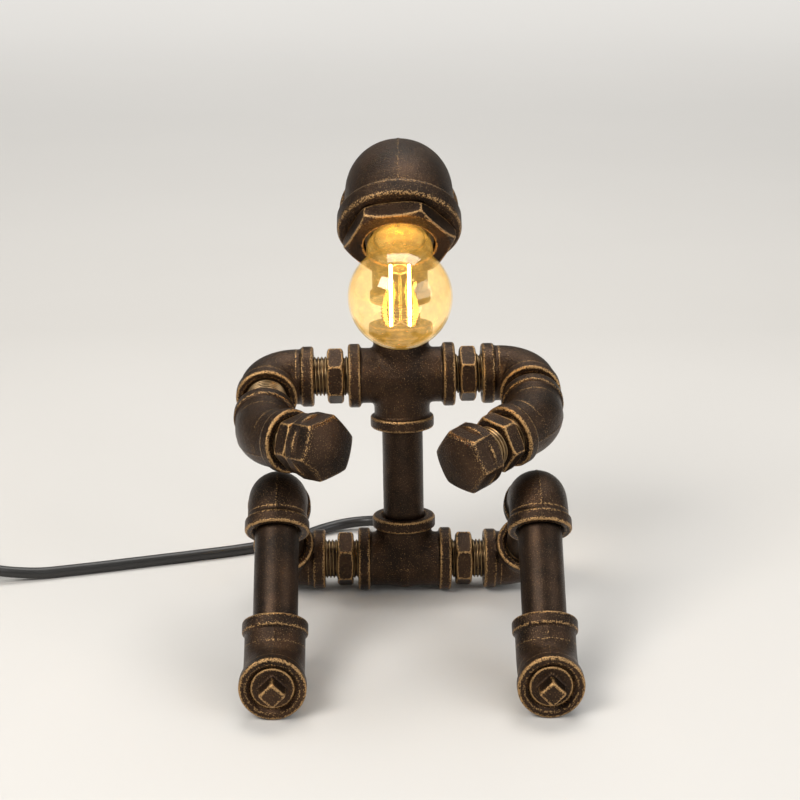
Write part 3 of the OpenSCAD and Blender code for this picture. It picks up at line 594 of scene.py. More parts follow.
def skin(field, lo, hi, step):
    """Surface of field = 0 between the corners lo and hi: surface nets, then two Newton steps."""
    lo = np.array(lo, float)
    n = np.ceil((np.array(hi, float) - lo) / step).astype(int) + 1
    axes = [lo[i] + step * np.arange(n[i]) for i in range(3)]
    g = np.meshgrid(*axes, indexing="ij")
    f = field(*g)
    inside = f < 0
    cells = n - 1
    total = int(np.prod(cells))
    acc = np.zeros((total, 3))
    cnt = np.zeros(total)
    quads = []
    for ax in range(3):
  # the surface crosses the grid's line from each 'here' to the next point along the axis
        e = np.argwhere(np.diff(inside, axis=ax))
        here, after = tuple(e.T), tuple((e + np.eye(3, dtype=int)[ax]).T)
        p = e.astype(float)
        p[:, ax] += f[here] / (f[here] - f[after])
        o1, o2 = [i for i in range(3) if i != ax]
        ids = []
        good = np.ones(len(e), bool)
        for d1, d2 in ((0, 0), (-1, 0), (-1, -1), (0, -1)):
            c = e.copy()
            c[:, o1] += d1
            c[:, o2] += d2
            ok = np.all((c >= 0) & (c < cells), axis=1)
            flat = (c[:, 0] * cells[1] + c[:, 1]) * cells[2] + c[:, 2]
            flat[~ok] = 0
            for k in range(3):
                acc[:, k] += np.bincount(flat[ok], weights=p[ok, k], minlength=total)
            cnt += np.bincount(flat[ok], minlength=total)
            good &= ok
            ids.append(flat)
        q = np.stack(ids, axis=1)[good]
        flip = inside[here][good] ^ (ax == 1)
        q[~flip] = q[~flip][:, ::-1]
        quads.append(q)
    used = cnt > 0
    order = np.full(total, -1)
    order[used] = np.arange(used.sum())
    verts = lo + step * acc[used] / cnt[used][:, None]
    faces = order[np.concatenate(quads)]
    h = 0.05
    for _ in range(2):
        d = field(*verts.T)
        grad = np.stack([field(*(verts + v).T) - field(*(verts - v).T) for v in h * np.eye(3)], 1) / (2 * h)
        size = np.maximum((grad ** 2).sum(1), 0.3)
        verts = verts - np.clip(d / size, -step, step)[:, None] * grad
    h = 1.1
    d0 = field(*verts.T)
    lap = sum(field(*(verts + h * v).T) + field(*(verts - h * v).T) for v in np.eye(3)) - 6 * d0
    edge = np.clip((lap / (h * h) - 0.14) * 1.3, 0, 1)
    return verts, faces, edge


def ridge(y, height, width):
    """Moulding seam along y = 0."""
    return height * np.exp(-((y / width) ** 2))


def elbow_field(turn, a, bend, r=BODY_R, bead_r=BEAD_R, w=BEAD_W, mouth=MOUTH, seam=(0.22, 0.55),
                rounds=(1.25, 1.3, 0.5)):
    """Elbow with one mouth along +Z and its centre line's bend towards +X; 'a' is from centre to face.

    'rounds' are those of the bead's edges, of its root and of the mouth's lip.
    """
    t = bend * math.tan(math.radians(turn / 2))
    c, s = math.cos(math.radians(180 - turn)), math.sin(math.radians(180 - turn))

    def field(x, y, z):
        x2, z2 = x * c - z * s, x * s + z * c
        ends = ((x, z), (x2, z2))
        bent = np.hypot(np.hypot(x - bend, z - t) - bend, y) - r
        d = np.maximum(bent, np.maximum(z - t - 0.3, z2 - t - 0.3))
        for u, v in ends:
            d = np.minimum(d, tube_field(u, y, v, t - 0.3, a - 0.6, r, 0.0))
        d = d - ridge(y, *seam)
        for u, v in ends:
            d = smin(d, tube_field(u, y, v, a - w, a, bead_r, rounds[0]), rounds[1])
        for u, v in ends:
            d = smax(d, -mouth_field(u, y, v, a, *mouth), rounds[2])
        return d

    return field


def junction_field(ways, a):
    """Fitting with a mouth in each of the directions 'ways'."""
    mats = [np.linalg.inv(aim(d, FRONT))[:3, :3] for d in ways]

    def field(x, y, z):
        p = np.stack([x, y, z])
        local = [np.tensordot(m, p, 1) for m in mats]
        d = np.sqrt(x * x + y * y + z * z) - BODY_R
        for q in local:
            d = smin(d, tube_field(*q, -1, a - 0.6, BODY_R, 0.0), 2.6)
        d = d - ridge(y, 0.15, 0.5)
        for q in local:
            d = smin(d, tube_field(*q, a - BEAD_W, a, TEE_BEAD_R, 1.3), 1.4)
        for q in local:
            d = smax(d, -mouth_field(*q, a, *MOUTH), 0.5)
        return d

    return field


def hex_distance(x, y, af):
    """Distance from a hexagon round +Z with slightly rounded corners and a flat towards +X."""
    d = None
    for k in range(3):
        v = math.radians(60 * k)
        e = np.abs(x * math.cos(v) + y * math.sin(v)) - af / 2
        d = e if d is None else smax(d, e, 0.5)
    return d


# ---------- cast iron pieces

ELBOW_SIDE = 17  # half of the grid across an elbow
TEE_SIDE = 18  # half of the grid across a tee or cross


def square_elbow(a):
    low, high = -ELBOW_SIDE, a + ROOM
    return skin(elbow_field(90, a, a - BEND_ROOM), (low, low, low), (high, -low, high), STEP)


ELBOW_90 = square_elbow(ELBOW_A)
ELBOW_ARM = square_elbow(ARM_ELBOW_A)
ELBOW_45 = skin(elbow_field(45, BEND45_A, 8.9 / math.tan(math.radians(22.5))),
                (-ELBOW_SIDE, -ELBOW_SIDE, -28), (28, ELBOW_SIDE, BEND45_A + ROOM), STEP)
SPINE_WAY = about((0, 1, 0), -SIDE_LEAN)[:3, 2]
reach = TEE_A + ROOM
TEE = skin(junction_field([RIGHT, -RIGHT, SPINE_WAY], TEE_A), (-reach, -TEE_SIDE, -TEE_SIDE),
           (reach, TEE_SIDE, reach + 0.5), STEP)
reach = CROSS_A + ROOM
CROSS = skin(junction_field([RIGHT, -RIGHT, UP, -UP], CROSS_A), (-reach, -TEE_SIDE, -reach),
             (reach, TEE_SIDE, reach), STEP)


def cast(name, shape, at, body):
    verts, faces, edge = shape
    add_mesh("cast_" + name, verts, faces, at, IRON, body, [name], "iron", edge)


cast("hip_tee", TEE, HIPS, "frame")
cast("shoulder_cross", CROSS, SHOULDER, "frame")
cast("neck_elbow", ELBOW_45, NECK @ aim(-UP, FRONT), "neck")
for word, side in SIDES:
    cast("hip_elbow_" + word, ELBOW_90, leg(side) @ aim(-side * RIGHT, FRONT), "frame")
    cast("knee_elbow_" + word, ELBOW_90, knee(side) @ aim(-FRONT, -UP), "frame")
    cast("foot_elbow_" + word, ELBOW_45, foot(side) @ aim(UP, FRONT), "frame")
    cast("upper_elbow_" + word, ELBOW_ARM, arm(side) @ aim(-side * RIGHT, FRONT), "arm_" + word)
    cast("forearm_elbow_" + word, ELBOW_45, forearm(side) @ aim(-FRONT, inward(side)), "forearm_" + word)

HEAD_SIDE, HEAD_STEP = 31, 0.8
head_field = elbow_field(90, HEAD_A, HEAD_A - HEAD_BEAD_W - 2.2, HEAD_R, HEAD_BEAD_R, HEAD_BEAD_W,
                         (HEAD_THREAD_D / 2 + 0.05, 2.0, 6), (0.25, 0.7), (1.9, 2.2, 0.6))
cast("head_elbow", skin(head_field, (-HEAD_SIDE,) * 3, (HEAD_A + ROOM, HEAD_SIDE, HEAD_A + ROOM), HEAD_STEP),
     HEAD @ aim(GAZE, -NAPE), "head")


def hex_shape(af, w, bore_r, bevel=0.62):
    """Hexagon along +Z from 0 to w, its corners turned off by a cone at both ends."""
    point = af / 2 / math.cos(math.radians(30))
    turned_r = point - (point - af / 2) * 0.9

    def field(x, y, z):
        rad, end = np.hypot(x, y), np.abs(z - w / 2) - w / 2
        d = smax(hex_distance(x, y, af), end, 0.7)
        d = smax(d, (rad - turned_r + end / bevel) * bevel / math.hypot(1, bevel), 0.5)
        return smax(d, -(rad - bore_r), 0.7)

    return skin(field, (-point - 1, -point - 1, -1), (point + 1, point + 1, w + 1), 0.45)


def wound_rows(z0, z1, pitch, n, per, radius):
    """Rings from z0 to z1 whose radii, from radius(z, turns), wind round Z, 'per' rings a turn."""
    a = 2 * np.pi * np.arange(n) / n
    rows = []
    for z in np.linspace(z0, z1, int(math.ceil((z1 - z0) / pitch * per)) + 1):
        rad = radius(z, z / pitch - a / (2 * np.pi))
        rows.append(list(zip(rad * np.cos(a), rad * np.sin(a), [z] * n)))
    return rows


def thread_rows(z0, z1, r, pitch, depth, n):
    """Rings of a cut thread with rounded crests and roots, and how far each point is a crest."""
    crest = []

    def radius(z, turns):
        saw = 1 - np.abs(2 * (turns % 1) - 1)
        tooth = np.clip((saw - 0.5) * 1.35 + 0.5, 0, 1)
        tooth = tooth * tooth * (3 - 2 * tooth)
        crest.extend(np.clip((tooth - 0.75) * 4, 0, 1).tolist())
        return r - depth * (1 - tooth)

    return wound_rows(z0, z1, pitch, n, 8, radius), crest


def thread(z0, z1, r=THREAD_D / 2, pitch=PIPE_PITCH, depth=1.05, n=56):
    """Threaded rod round +Z with flat ends: points, faces and how far each point is a crest."""
    rows, crest = thread_rows(z0, z1, r, pitch, depth, n)
    return *stack([[(0, 0, z0)]] + rows + [[(0, 0, z1)]]), [0] + crest + [0]


def threaded(name, plain, threads, mat, at, body, node, slot="pipe"):
    """Piece of a plain part, if any, and threaded ones."""
    parts = [(p, 0) for p in plain] + [(p, 1) for p in threads]
    verts, faces, index = join(*[p[:2] for p, kind in parts])
    edge = [e for p, kind in parts for e in p[2]]
    which = [parts[i][1] for i in index]
    return add_mesh(name, verts, faces, at, [mat, THREAD], body, [node], slot, edge, which=which)


HEX_NUT = hex_shape(HEX_AF, HEX_W, THREAD_D / 2 - 1.3)


def nipple(name, at, gap, body, nut=None, turn=30):
    """Threaded nipple across a gap, with its hexagon at 'nut' from the first face and a flat at 'turn'."""
    nuts = [] if nut is None else [(*placed(HEX_NUT[:2], move(0, 0, nut) @ about_z(turn)), HEX_NUT[2])]
    threaded("nipple_" + name, nuts, [thread(-SCREWED_IN, gap + SCREWED_IN)], IRON, at, body, name)


for word, side in SIDES:
    out = aim(side * RIGHT, UP)
    way = fist_way(side)
    nipple("hip_nipple_" + word, HIPS @ move(side * TEE_A, 0, 0) @ out, HIP_GAP, "frame", SHORT_THREAD)
    nipple("shoulder_nipple_" + word, SHOULDER @ move(side * CROSS_A, 0, 0) @ out, SHOULDER_GAP[side],
           "frame", SHORT_THREAD)
    nipple("arm_nipple_" + word, arm(side) @ move(0, -ARM_ELBOW_A, 0) @ aim(FRONT, UP), ARM_GAP[side],
           "arm_" + word)
    nipple("wrist_nipple_" + word, forearm(side) @ move(*(BEND45_A * way)) @ aim(way, UP), WRIST_GAP[side],
           "forearm_" + word, SHORT_THREAD, 0)
nipple("neck_nipple", SHOULDER @ move(0, 0, CROSS_A), NECK_GAP, "frame")
nipple("head_nipple", NECK @ move(*(BEND45_A * NAPE)) @ aim(NAPE, RIGHT), NAPE_GAP, "neck")


def pipe(name, at, length, body):
    """Plain pipe between two faces; a few threads run out inside each mouth."""
    r = PIPE_D / 2
    n = 72
    zs = [-1.9, -1.4, 0.6] + list(np.linspace(2, length - 2, 24)) + [length - 0.6, length + 1.4, length + 1.9]
    rr = [THREAD_D / 2 - 0.5, r - 0.5, r - 0.03] + [r - 0.03] * 24 + [r - 0.03, r - 0.5, THREAD_D / 2 - 0.5]
    tube = lathe([(0, zs[0])] + list(zip(rr, zs)) + [(0, zs[-1])], n)
    threaded("pipe_" + name, [(*tube, [0] * len(tube[0]))],
             [thread(-SCREWED_IN, -1.3), thread(length + 1.3, length + SCREWED_IN)], PIPE, at, body, name)


pipe("spine_pipe", TORSO @ move(0, 0, TEE_A), SPINE_L - TEE_A - CROSS_A, "frame")
for word, side in SIDES:
    pipe("thigh_nipple_" + word, leg(side) @ move(0, -ELBOW_A, 0) @ aim(FRONT, UP),
         THIGH_L - 2 * ELBOW_A, "frame")
    pipe("shin_pipe_" + word, knee(side) @ move(0, 0, -ELBOW_A) @ aim(-UP, FRONT),
         SHIN_L - ELBOW_A - BEND45_A, "frame")


def plug_shape():
    """Foot plug: round shoulder with a worn square head."""
    h = PLUG_OUT

    def field(x, y, z):
        rad = np.hypot(x, y)
        base = tube_field(x, y, z, -8, -PLUG_RECESS, THREAD_D / 2 - 0.1, 0.7)
        c = 0.7071
        u, v = (x + y) * c, (x - y) * c
        taper = PLUG_SQ / 2 - 0.02 * (z + 1)
        q = smax(np.abs(u) - taper, np.abs(v) - taper, 1.4)
        q = smax(q, z - h, 1.2)
        q = smax(q, (rad + 0.9 * z - PLUG_SQ * 0.62 - 0.9 * h) * 0.74, 0.6)
        return smin(base, np.maximum(q, -2 - z), 1.2)

    return skin(field, (-12, -12, -9), (12, 12, h + 1), 0.4)


PLUG = plug_shape()


def cap_shape():
    """Fist: bead at the mouth, six flats and a crowned end."""
    def field(x, y, z):
        rad = np.hypot(x, y)
        bead = tube_field(x, y, z, 0, BEAD_W, BEAD_R, 1.4)
        hexa = hex_distance(x, y, CAP_AF - 0.4)
        hexa = smax(hexa, z - CAP_L, 1.2)
        hexa = smax(hexa, (rad - CAP_AF / 2 - 1.6 + (z - CAP_L + 3.2) * 0.85) * 0.76, 1.4)
        hexa = smax(hexa, (rad * 0.28 + z - CAP_L - 1.2) * 0.96, 2.0)
        d = smin(bead, np.maximum(hexa, 1 - z), 1.2)
        return smax(d, -mouth_field(x, y, -z, 0, *MOUTH), 0.5)

    return skin(field, (-17.5, -17.5, -1), (17.5, 17.5, CAP_L + 1), 0.45)


CAP = cap_shape()
for word, side in SIDES:
    cast("foot_plug_" + word, PLUG, foot(side) @ move(*(BEND45_A * TOE)) @ aim(TOE, UP), "frame")
    way = fist_way(side)
    cast("fist_cap_" + word, CAP, forearm(side) @ move(*((BEND45_A + WRIST_GAP[side]) * way)) @ aim(way, UP),
         "forearm_" + word)


def bushing(name, at, w, bore_r, body, spin=0.0):
    """Hexagonal bushing: its face from 0 to w, its threaded tube below."""
    r, n = HEAD_THREAD_D / 2 - 0.05, 96
    rows, crest = thread_rows(-6, 0.5, r, HEAD_PITCH, 1.3, n)
    inside = bore_r + 0.05
    bore = [(inside, 0.9), (inside, -THREAD_REACH), (r - 1.5, -THREAD_REACH)]
    tube = stack(rows + [ring(*p, n) for p in bore], closed=True)
    threaded("bushing_" + name, [hex_shape(FACE_AF, w, bore_r)], [(*tube, crest + [0] * (len(bore) * n))],
             IRON, at @ about_z(spin), body, name, "iron")


bushing("face_bushing", LOOK @ move(0, 0, HEAD_A), FACE_W, FACE_BORE_R, "head", FACE_TURN)
bushing("head_bushing", HEAD @ move(*(-HEAD_A * NAPE)) @ aim(-NAPE, RIGHT), NAPE_W, THREAD_D / 2 + 0.05,
        "head", 30)

# ---------- lampholder and bulb


def turned(name, profile, at, mat, body, nodes, slot, n=72, closed=False):
    return add_mesh(name, *lathe(profile, n, closed), at, mat, body, nodes, slot)


holder_r, holder_in, wire_hole = HOLDER_D / 2, HOLDER_D / 2 - 2.4, 2.7
cup = [(wire_hole, HOLDER_FLOOR), (wire_hole, HOLDER_S), (holder_r, HOLDER_S), (holder_r, HOLDER_TOP),
       (holder_in, HOLDER_TOP), (holder_in, HOLDER_FLOOR)]
turned("holder_cup", rounded(cup, 0.7, closed=True), LOOK, HOLDER, "head", ["lampholder"], "holder",
       closed=True)

SHELL_N = 64
SHELL_R = 14
SHELL_TOP = HOLDER_TOP - 4


def rolled(z0, z1, r, depth):
    """Rings of a round thread rolled into sheet brass, which fades out at both ends."""
    def radius(z, turns):
        wave = 0.5 + 0.5 * np.cos(2 * np.pi * turns)
        return r - depth * wave * min(1, (z - z0) / 1.5, (z1 - z) / 1.5)

    return wound_rows(z0, z1, BULB_PITCH, SHELL_N, 10, radius)


add_mesh("screw_shell", *stack(rolled(HOLDER_FLOOR, SHELL_TOP, SHELL_R - 0.1, 0.45)[::-1]
                               + [ring(SHELL_R, z, SHELL_N) for z in (HOLDER_FLOOR, SHELL_TOP)], closed=True),
         LOOK, BRASS, "head", ["socket_shell"], "brass")
spring = [(0, HOLDER_FLOOR), (3.5, HOLDER_FLOOR), (3.5, CONTACT_TOP - 0.4), (2.2, CONTACT_TOP),
          (0, CONTACT_TOP)]
turned("contact", rounded(spring, 0.3), LOOK, BRASS, "head", ["centre_contact"], "brass", 40)

CAP_R = CAP_D / 2 - 0.05
button = rounded([(0, CAP_BOTTOM), (3.4, CAP_BOTTOM), (4.4, CAP_BOTTOM + 1.5),
                  (CAP_D / 2 - 2, CAP_BOTTOM + 4), (CAP_R, CAP_BOTTOM + 6)], 0.5)
add_mesh("bulb_cap_rolled", *stack([ring(r, z, SHELL_N) for r, z in button[:-1]]
                                   + rolled(CAP_BOTTOM + 6, CAP_TOP, CAP_R, 0.9)
                                   + [[(0, 0, CAP_TOP - 0.1)]]),
         LOOK, CAP_BRASS, "bulb", ["bulb_cap"], "bulb_brass")


def globe_line(inset, steps=40):
    """Profile of the globe from its neck to its tip."""
    r = GLOBE_R - inset
    neck = math.pi - math.asin((NECK_R - inset) / r)
    turns = [neck * (1 - i / steps) for i in range(steps + 1)]
    return [(r * math.sin(t), GLOBE_S + r * math.cos(t)) for t in turns]


GLASS_R = CAP_D / 2 - 0.2
outer = rounded([(GLASS_R, CAP_TOP, 0), (GLASS_R, HOLDER_TOP, 1.5), (NECK_R, FACE_S, 2.0),
                 (NECK_R + 0.02, FACE_S + 9, 4.0)] + [(r, z, 0) for r, z in globe_line(0.03)[2:]], 1)
inner = [(max(0, r - 0.75 if z < GLOBE_S else r * (GLOBE_R - 0.8) / GLOBE_R),
          z if z < GLOBE_S else GLOBE_S + (z - GLOBE_S) * (GLOBE_R - 0.8) / GLOBE_R) for r, z in outer]
turned("bulb_globe", outer + inner[::-1], LOOK, GLASS, "bulb", ["bulb_glass"], "bulb_glass", 96, closed=True)

STEM_TOP = GLOBE_S - FILAMENT_L / 2 + 1
FOOT_Z = STEM_TOP - 2
stem = [(0, CAP_TOP), (GLASS_R - 1.3, CAP_TOP), (GLASS_R - 2.3, CAP_TOP + 1.5), (4.5, CAP_TOP + 6),
        (3.0, STEM_TOP - 3), (2.6, STEM_TOP), (0.6, STEM_TOP + 0.8), (0.55, FOOT_Z + FILAMENT_L - 0.8),
        (0, FOOT_Z + FILAMENT_L - 0.7)]
turned("glass_stem", rounded(stem, 0.8), LOOK, STEM_GLASS, "bulb", ["bulb_stem"], "bulb_stem", 40)


def rod(r, z0, z1):
    return lathe([(0, z0), (r, z0), (r, z1), (0, z1)], 10)


def filaments():
    """Four glowing sticks, each with thin metal leads to the hub above and the collar below."""
    spread, top = 6, FILAMENT_L
    parts, which = [], []
    for k in range(4):
        v = math.radians(45 + 90 * k)
        out = np.array([math.cos(v), math.sin(v), 0])
        at = move(*(spread * out)) @ move(0, 0, FOOT_Z)
        stick = rounded([(0, 0.9), (0.78, 0.9), (0.78, top - 0.9), (0, top - 0.9)], 0.5)
        parts.append(placed(lathe(stick, 16), at))
        parts += [placed(rod(0.3, z0, z0 + 1), at) for z0 in (0, top - 1)]
        for z, start in ((0.3, 3.4), (top - 0.3, 0.0)):
            lead = rod(0.22, 0, spread + 0.1 - start)
            parts.append(placed(lead, move(*(start * out)) @ move(0, 0, FOOT_Z + z) @ aim(out, UP)))
        which += [0] + [1] * 4
    collar = lathe([(3.3, 0), (4.4, 0), (4.4, 0.6), (3.3, 0.6)], 40, closed=True)
    parts.append(placed(collar, move(0, 0, FOOT_Z)))
    which.append(1)
    verts, faces, index = join(*parts)
    return verts, faces, [which[i] for i in index]


v, f, w = filaments()
add_mesh("filament_sticks", v, f, LOOK, [FILAMENT, HOOK], "bulb", ["bulb_filaments"], "filament", which=w)

# ---------- wires and gland

GLAND_SEAT = BODY_R + 0.1
RELIEF_START = GLAND_SEAT + 6
RELIEF_END = RELIEF_START + RELIEF_L


def smooth_line(points, steps):
    """Smooth curve through the points, with 'steps' new points from each to the next."""
    p = [np.array(q, float) for q in points]
    n = len(p) - 1
    out = []
    for i in range(n):
        a, b, c, d = p[max(i - 1, 0)], p[i], p[i + 1], p[min(i + 2, n)]
        for s in range(steps):
            t = s / steps
            out.append(0.5 * (2 * b + (c - a) * t + (2 * a - 5 * b + 4 * c - d) * t * t
                              + (3 * b - a - 3 * c + d) * t ** 3))
    out.append(p[n])
    return out


def run(points, steps):
    """Smooth curve with a straight piece at both ends."""
    return [points[0]] + smooth_line(points[1:-1], steps) + [points[-1]]


def sweep(points, r, n):
    """Closed tube along points (mm)."""
    p = np.array(points, float)
    d = np.gradient(p, axis=0)
    d /= np.linalg.norm(d, axis=1)[:, None]
    side = np.cross(d[0], -FRONT if abs(d[0] @ UP) > 0.9 else UP)
    turns = [2 * math.pi * k / n for k in range(n)]
    rows = [[p[0]]]
    for at, way in zip(p, d):
        side = unit(side - (side @ way) * way)
        over = np.cross(way, side)
        rows.append([at + r * (math.cos(t) * side + math.sin(t) * over) for t in turns])
    return stack(rows + [[p[-1]]])


def wire(name, points, at, body, node):
    """Sleeved wires inside the pipes."""
    add_mesh(name, *sweep(points, 2.45, 14), at, WIRE, body, [node], "wire")


def lead_line(a, b, r, a_steps, b_steps):
    """Line in along a, round a bend of radius r near the origin and out along b."""
    bend = [r * ((1 - math.sin(t)) * a + (1 - math.cos(t)) * b) for t in np.linspace(0, math.pi / 2, 9)]
    return [a * s for s in a_steps] + bend + [b * s for s in b_steps]


LEAD_BEND = 9
LEAD_TOP = SPINE_L + NECK_UP - 2.5
wire("lead_in_spine", lead_line(-FRONT, UP, LEAD_BEND, np.linspace(RELIEF_START, LEAD_BEND + 1, 6),
                                np.linspace(LEAD_BEND + 2, LEAD_TOP, 30)), TORSO, "frame", "inner_lead")
HEAD_LEAD_END = HOLDER_FLOOR - 0.3
HEAD_BEND = HEAD_LEAD_END - 3.6
wire("lead_in_head", lead_line(-NAPE, GAZE, HEAD_BEND, np.linspace(NAPE_L - 5, HEAD_BEND + 1, 14),
                               np.linspace(HEAD_BEND + 1, HEAD_LEAD_END, 3)), HEAD, "head", "head_lead")

BACK = TORSO @ aim(-FRONT, UP)
*nut, nut_edge = hex_shape(14, 6, 3.0)
*stub, stub_edge = thread(GLAND_SEAT - 3, GLAND_SEAT + 0.5, 4.95, pitch=1.0, depth=0.5, n=40)
v, f, _ = join(placed(nut, move(0, 0, GLAND_SEAT) @ about_z(30)), stub)
add_mesh("gland_nut", v, f, BACK, BRASS, "frame", ["cord_gland"], "brass", list(nut_edge) + stub_edge)

RIBS = 6
sleeve = [(0, RELIEF_START), (5.6, RELIEF_START), (5.6, RELIEF_START + 3), (5.1, RELIEF_START + 4)]
for k in range(RIBS):
    a = RELIEF_START + 4 + (RELIEF_L - 6) * (k + 0.25) / RIBS
    b = a + 1.6
    r = 5.1 - 1.2 * (k + 0.5) / RIBS
    sleeve += [(r, a), (r - 0.75, a + 0.35), (r - 0.75, b - 0.1), (r - 0.1, b + 0.25)]
sleeve += [(3.9, RELIEF_END), (3.05, RELIEF_END), (0, RELIEF_END)]
turned("relief_sleeve", rounded([(*p, 0.25) for p in sleeve], 0.25), BACK, RUBBER, "frame", ["strain_relief"],
       "rubber", 40)

# ---------- cord

FLOOR_Z = CORD_D / 2
COIL_R = 44
COIL_PITCH = CORD_D + COIL_GAP
COIL_STEPS = 24
TIE_T, TIE_W, TIE_PLAY = 1, 7.8, 0.4
COIL_Z = FLOOR_Z + TIE_T + 0.3
COIL_LAYER = CORD_D + COIL_GAP
COIL_AT = np.array([-332.0, -34.0, COIL_Z])
COIL_TOP_R = COIL_R + COIL_PITCH / 2
COIL_INNER_R = COIL_R - COIL_PITCH * (COIL_TURNS + 0.25)
COIL_IN = COIL_TURNS * COIL_STEPS
COIL_HALF = COIL_STEPS / 2
COIL_COUNT = int(2 * (COIL_IN + COIL_HALF))


def coil_point(i):
    into = min(i, COIL_IN + COIL_HALF / 2)
    out = max(0, i - COIL_IN - COIL_HALF / 2)
    climb = min(1, max(0, (i - COIL_IN) / COIL_HALF))
    r = COIL_R - COIL_PITCH * (into - out) / COIL_STEPS
    v = math.radians(90 + 360 * i / COIL_STEPS)
    return COIL_AT + np.array([r * math.cos(v), r * math.sin(v), COIL_LAYER * climb])


BACKWARD = (TORSO @ np.array([0, 1, 0, 0]))[:3]
RELIEF_TIP = (TORSO @ np.array([0, RELIEF_END, 0, 1]))[:3]
SWITCH_START = np.array([-228.0, 10.0, 7.0])
SWITCH_END = SWITCH_START - np.array([SWITCH_L, 0, 0])
ALONG = np.array([CORD_D, 0, 0])
LEAD_ROUTE = [RELIEF_TIP, RELIEF_TIP + CORD_D * BACKWARD, (-2, 64, 9.8), (-9, 74, 7.6), (-20, 79.5, 5.6),
              (-33, 79, 4.2), (-45, 73, 3.4), (-56, 64, 3), (-70, 54, 3), (-90, 45, 3), (-115, 37, 3),
              (-140, 29.5, 3), (-165, 22, 3), (-185, 16.5, 3), (-197, 13.2, 3.4), (-211, 10.5, 5.2),
              SWITCH_START + ALONG, SWITCH_START]
TAIL_L = 22.7


def end_length(r, turn_r):
    """Length of the coil's straight end, which comes clear of the round side at r."""
    return math.sqrt((r + FLOOR_Z) ** 2 - (turn_r - FLOOR_Z) ** 2) + 0.5


def joining(a, b):
    """Route from a to b along -X, level at both ends."""
    return [a, a - ALONG / 2, (a + b) / 2, b + ALONG / 2, b]


COIL_START = COIL_AT + (end_length(COIL_R, COIL_R), COIL_R, 0)
COIL_END = COIL_AT + (-end_length(COIL_TOP_R, COIL_TOP_R), COIL_TOP_R, COIL_LAYER)
PLUG_AT = np.array([COIL_END[0] - TAIL_L, COIL_END[1], 8.0])


def laid(points):
    """Points lifted so that the cord rests on the floor."""
    return [np.array([p[0], p[1], max(p[2], FLOOR_Z)]) for p in points]


def straight(a, b, n=5):
    """Points between a and b, without them."""
    return [a + (b - a) * k / n for k in range(1, n)]


def sheath_tube(name, points, replaced):
    return add_mesh(name, *sweep(points, CORD_D / 2 - 0.02, 20), np.eye(4), SHEATH, "frame", replaced, "cord")


lead = laid(run(LEAD_ROUTE, 6))
coil = [coil_point(i * 0.5) for i in range(2 * COIL_COUNT + 1)]
rest = (laid(run(joining(SWITCH_END, COIL_START), 5)) + straight(COIL_START, coil[0]) + coil
        + straight(coil[-1], COIL_END) + laid(run(joining(COIL_END, PLUG_AT), 5)))
CORD_LEAD = sheath_tube("cord_to_switch", lead, ["cord_lead"])
CORD_REST = sheath_tube("cord_from_switch", rest, ["cord_link", "cord_coil", "cord_tail"])


def moulded(name, field, lo, hi, step, at, mat, body, node, slot):
    """Piece from a distance field that shows no wear."""
    return add_mesh(name, *skin(field, lo, hi, step)[:2], at, mat, body, [node], slot)


# The strap round the coil, with two grooves along it
TIE_IN = COIL_INNER_R - FLOOR_Z - TIE_PLAY
TIE_SPAN = COIL_TOP_R + FLOOR_Z + TIE_PLAY - TIE_IN
TIE_TOP = COIL_Z + COIL_LAYER + FLOOR_Z + TIE_PLAY


def tie_field(x, y, z):
    across, half = np.abs(x - TIE_IN - TIE_SPAN / 2) - TIE_SPAN / 2, TIE_T / 2
    tall = np.abs(z - TIE_TOP / 2 - half) - TIE_TOP / 2
    d = smax(np.maximum(across - TIE_T, tall - half), -np.maximum(across, tall + half), 0.2)
    d = smax(d, np.abs(y) - TIE_W / 2, 0.3)
    return d + 0.12 * np.exp(-((np.abs(y) - 1.9) / 0.35) ** 2)


TIE = moulded("tie_strap", tie_field, (TIE_IN - 2, -5, -1), (TIE_IN + TIE_SPAN + 2, 5, TIE_TOP + 2), 0.4,
              move(COIL_AT[0], COIL_AT[1], 0) @ about_z(200), STRAP, "frame", "cord_tie", "tie")

SWITCH_AT = move(SWITCH_START[0], SWITCH_START[1], 0) @ about_z(180) @ move(SWITCH_L / 2, 0, 0)
SEAM = 8
ROCKER_L, ROCKER_W, ROCKER_Z, ROCKER_TILT = 17, 9, SWITCH_H - 5, 8


def plan_distance(x, y, l, w, c):
    qx, qy = np.abs(x) - (l / 2 - c), np.abs(y) - (w / 2 - c)
    return np.hypot(np.maximum(qx, 0), np.maximum(qy, 0)) + np.minimum(np.maximum(qx, qy), 0) - c


def shell_field(z0, z1, top):
    """Half of the switch: the base, open at z1, or the rounded top, open at z0 and slotted for the rocker."""
    def field(x, y, z):
        d = plan_distance(x, y, SWITCH_L, SWITCH_W, SWITCH_W / 3)
        d = smax(d, z - z1, 3.2 if top else 0.3)
        d = smax(d, z0 - z, 0.3 if top else 1.2)
        inner = plan_distance(x, y, SWITCH_L - 8, SWITCH_W - 4, SWITCH_W / 3 - 2)
        hollow = np.maximum(inner, (z - z1 + 2) if top else (z0 + 2 - z))
        d = smax(d, -hollow, 0.3)
        if top:
            slot = np.maximum(np.abs(x) - ROCKER_L / 2 - 0.9, np.abs(y) - ROCKER_W / 2 - 0.4)
            d = smax(d, -slot, 0.5)
            rim = np.abs(plan_distance(x, y, ROCKER_L + 5, ROCKER_W + 4, 2.5)) - 0.3
            d = smax(d, -np.maximum(rim, z1 - 0.3 - z), 0.2)
        return d

    return field


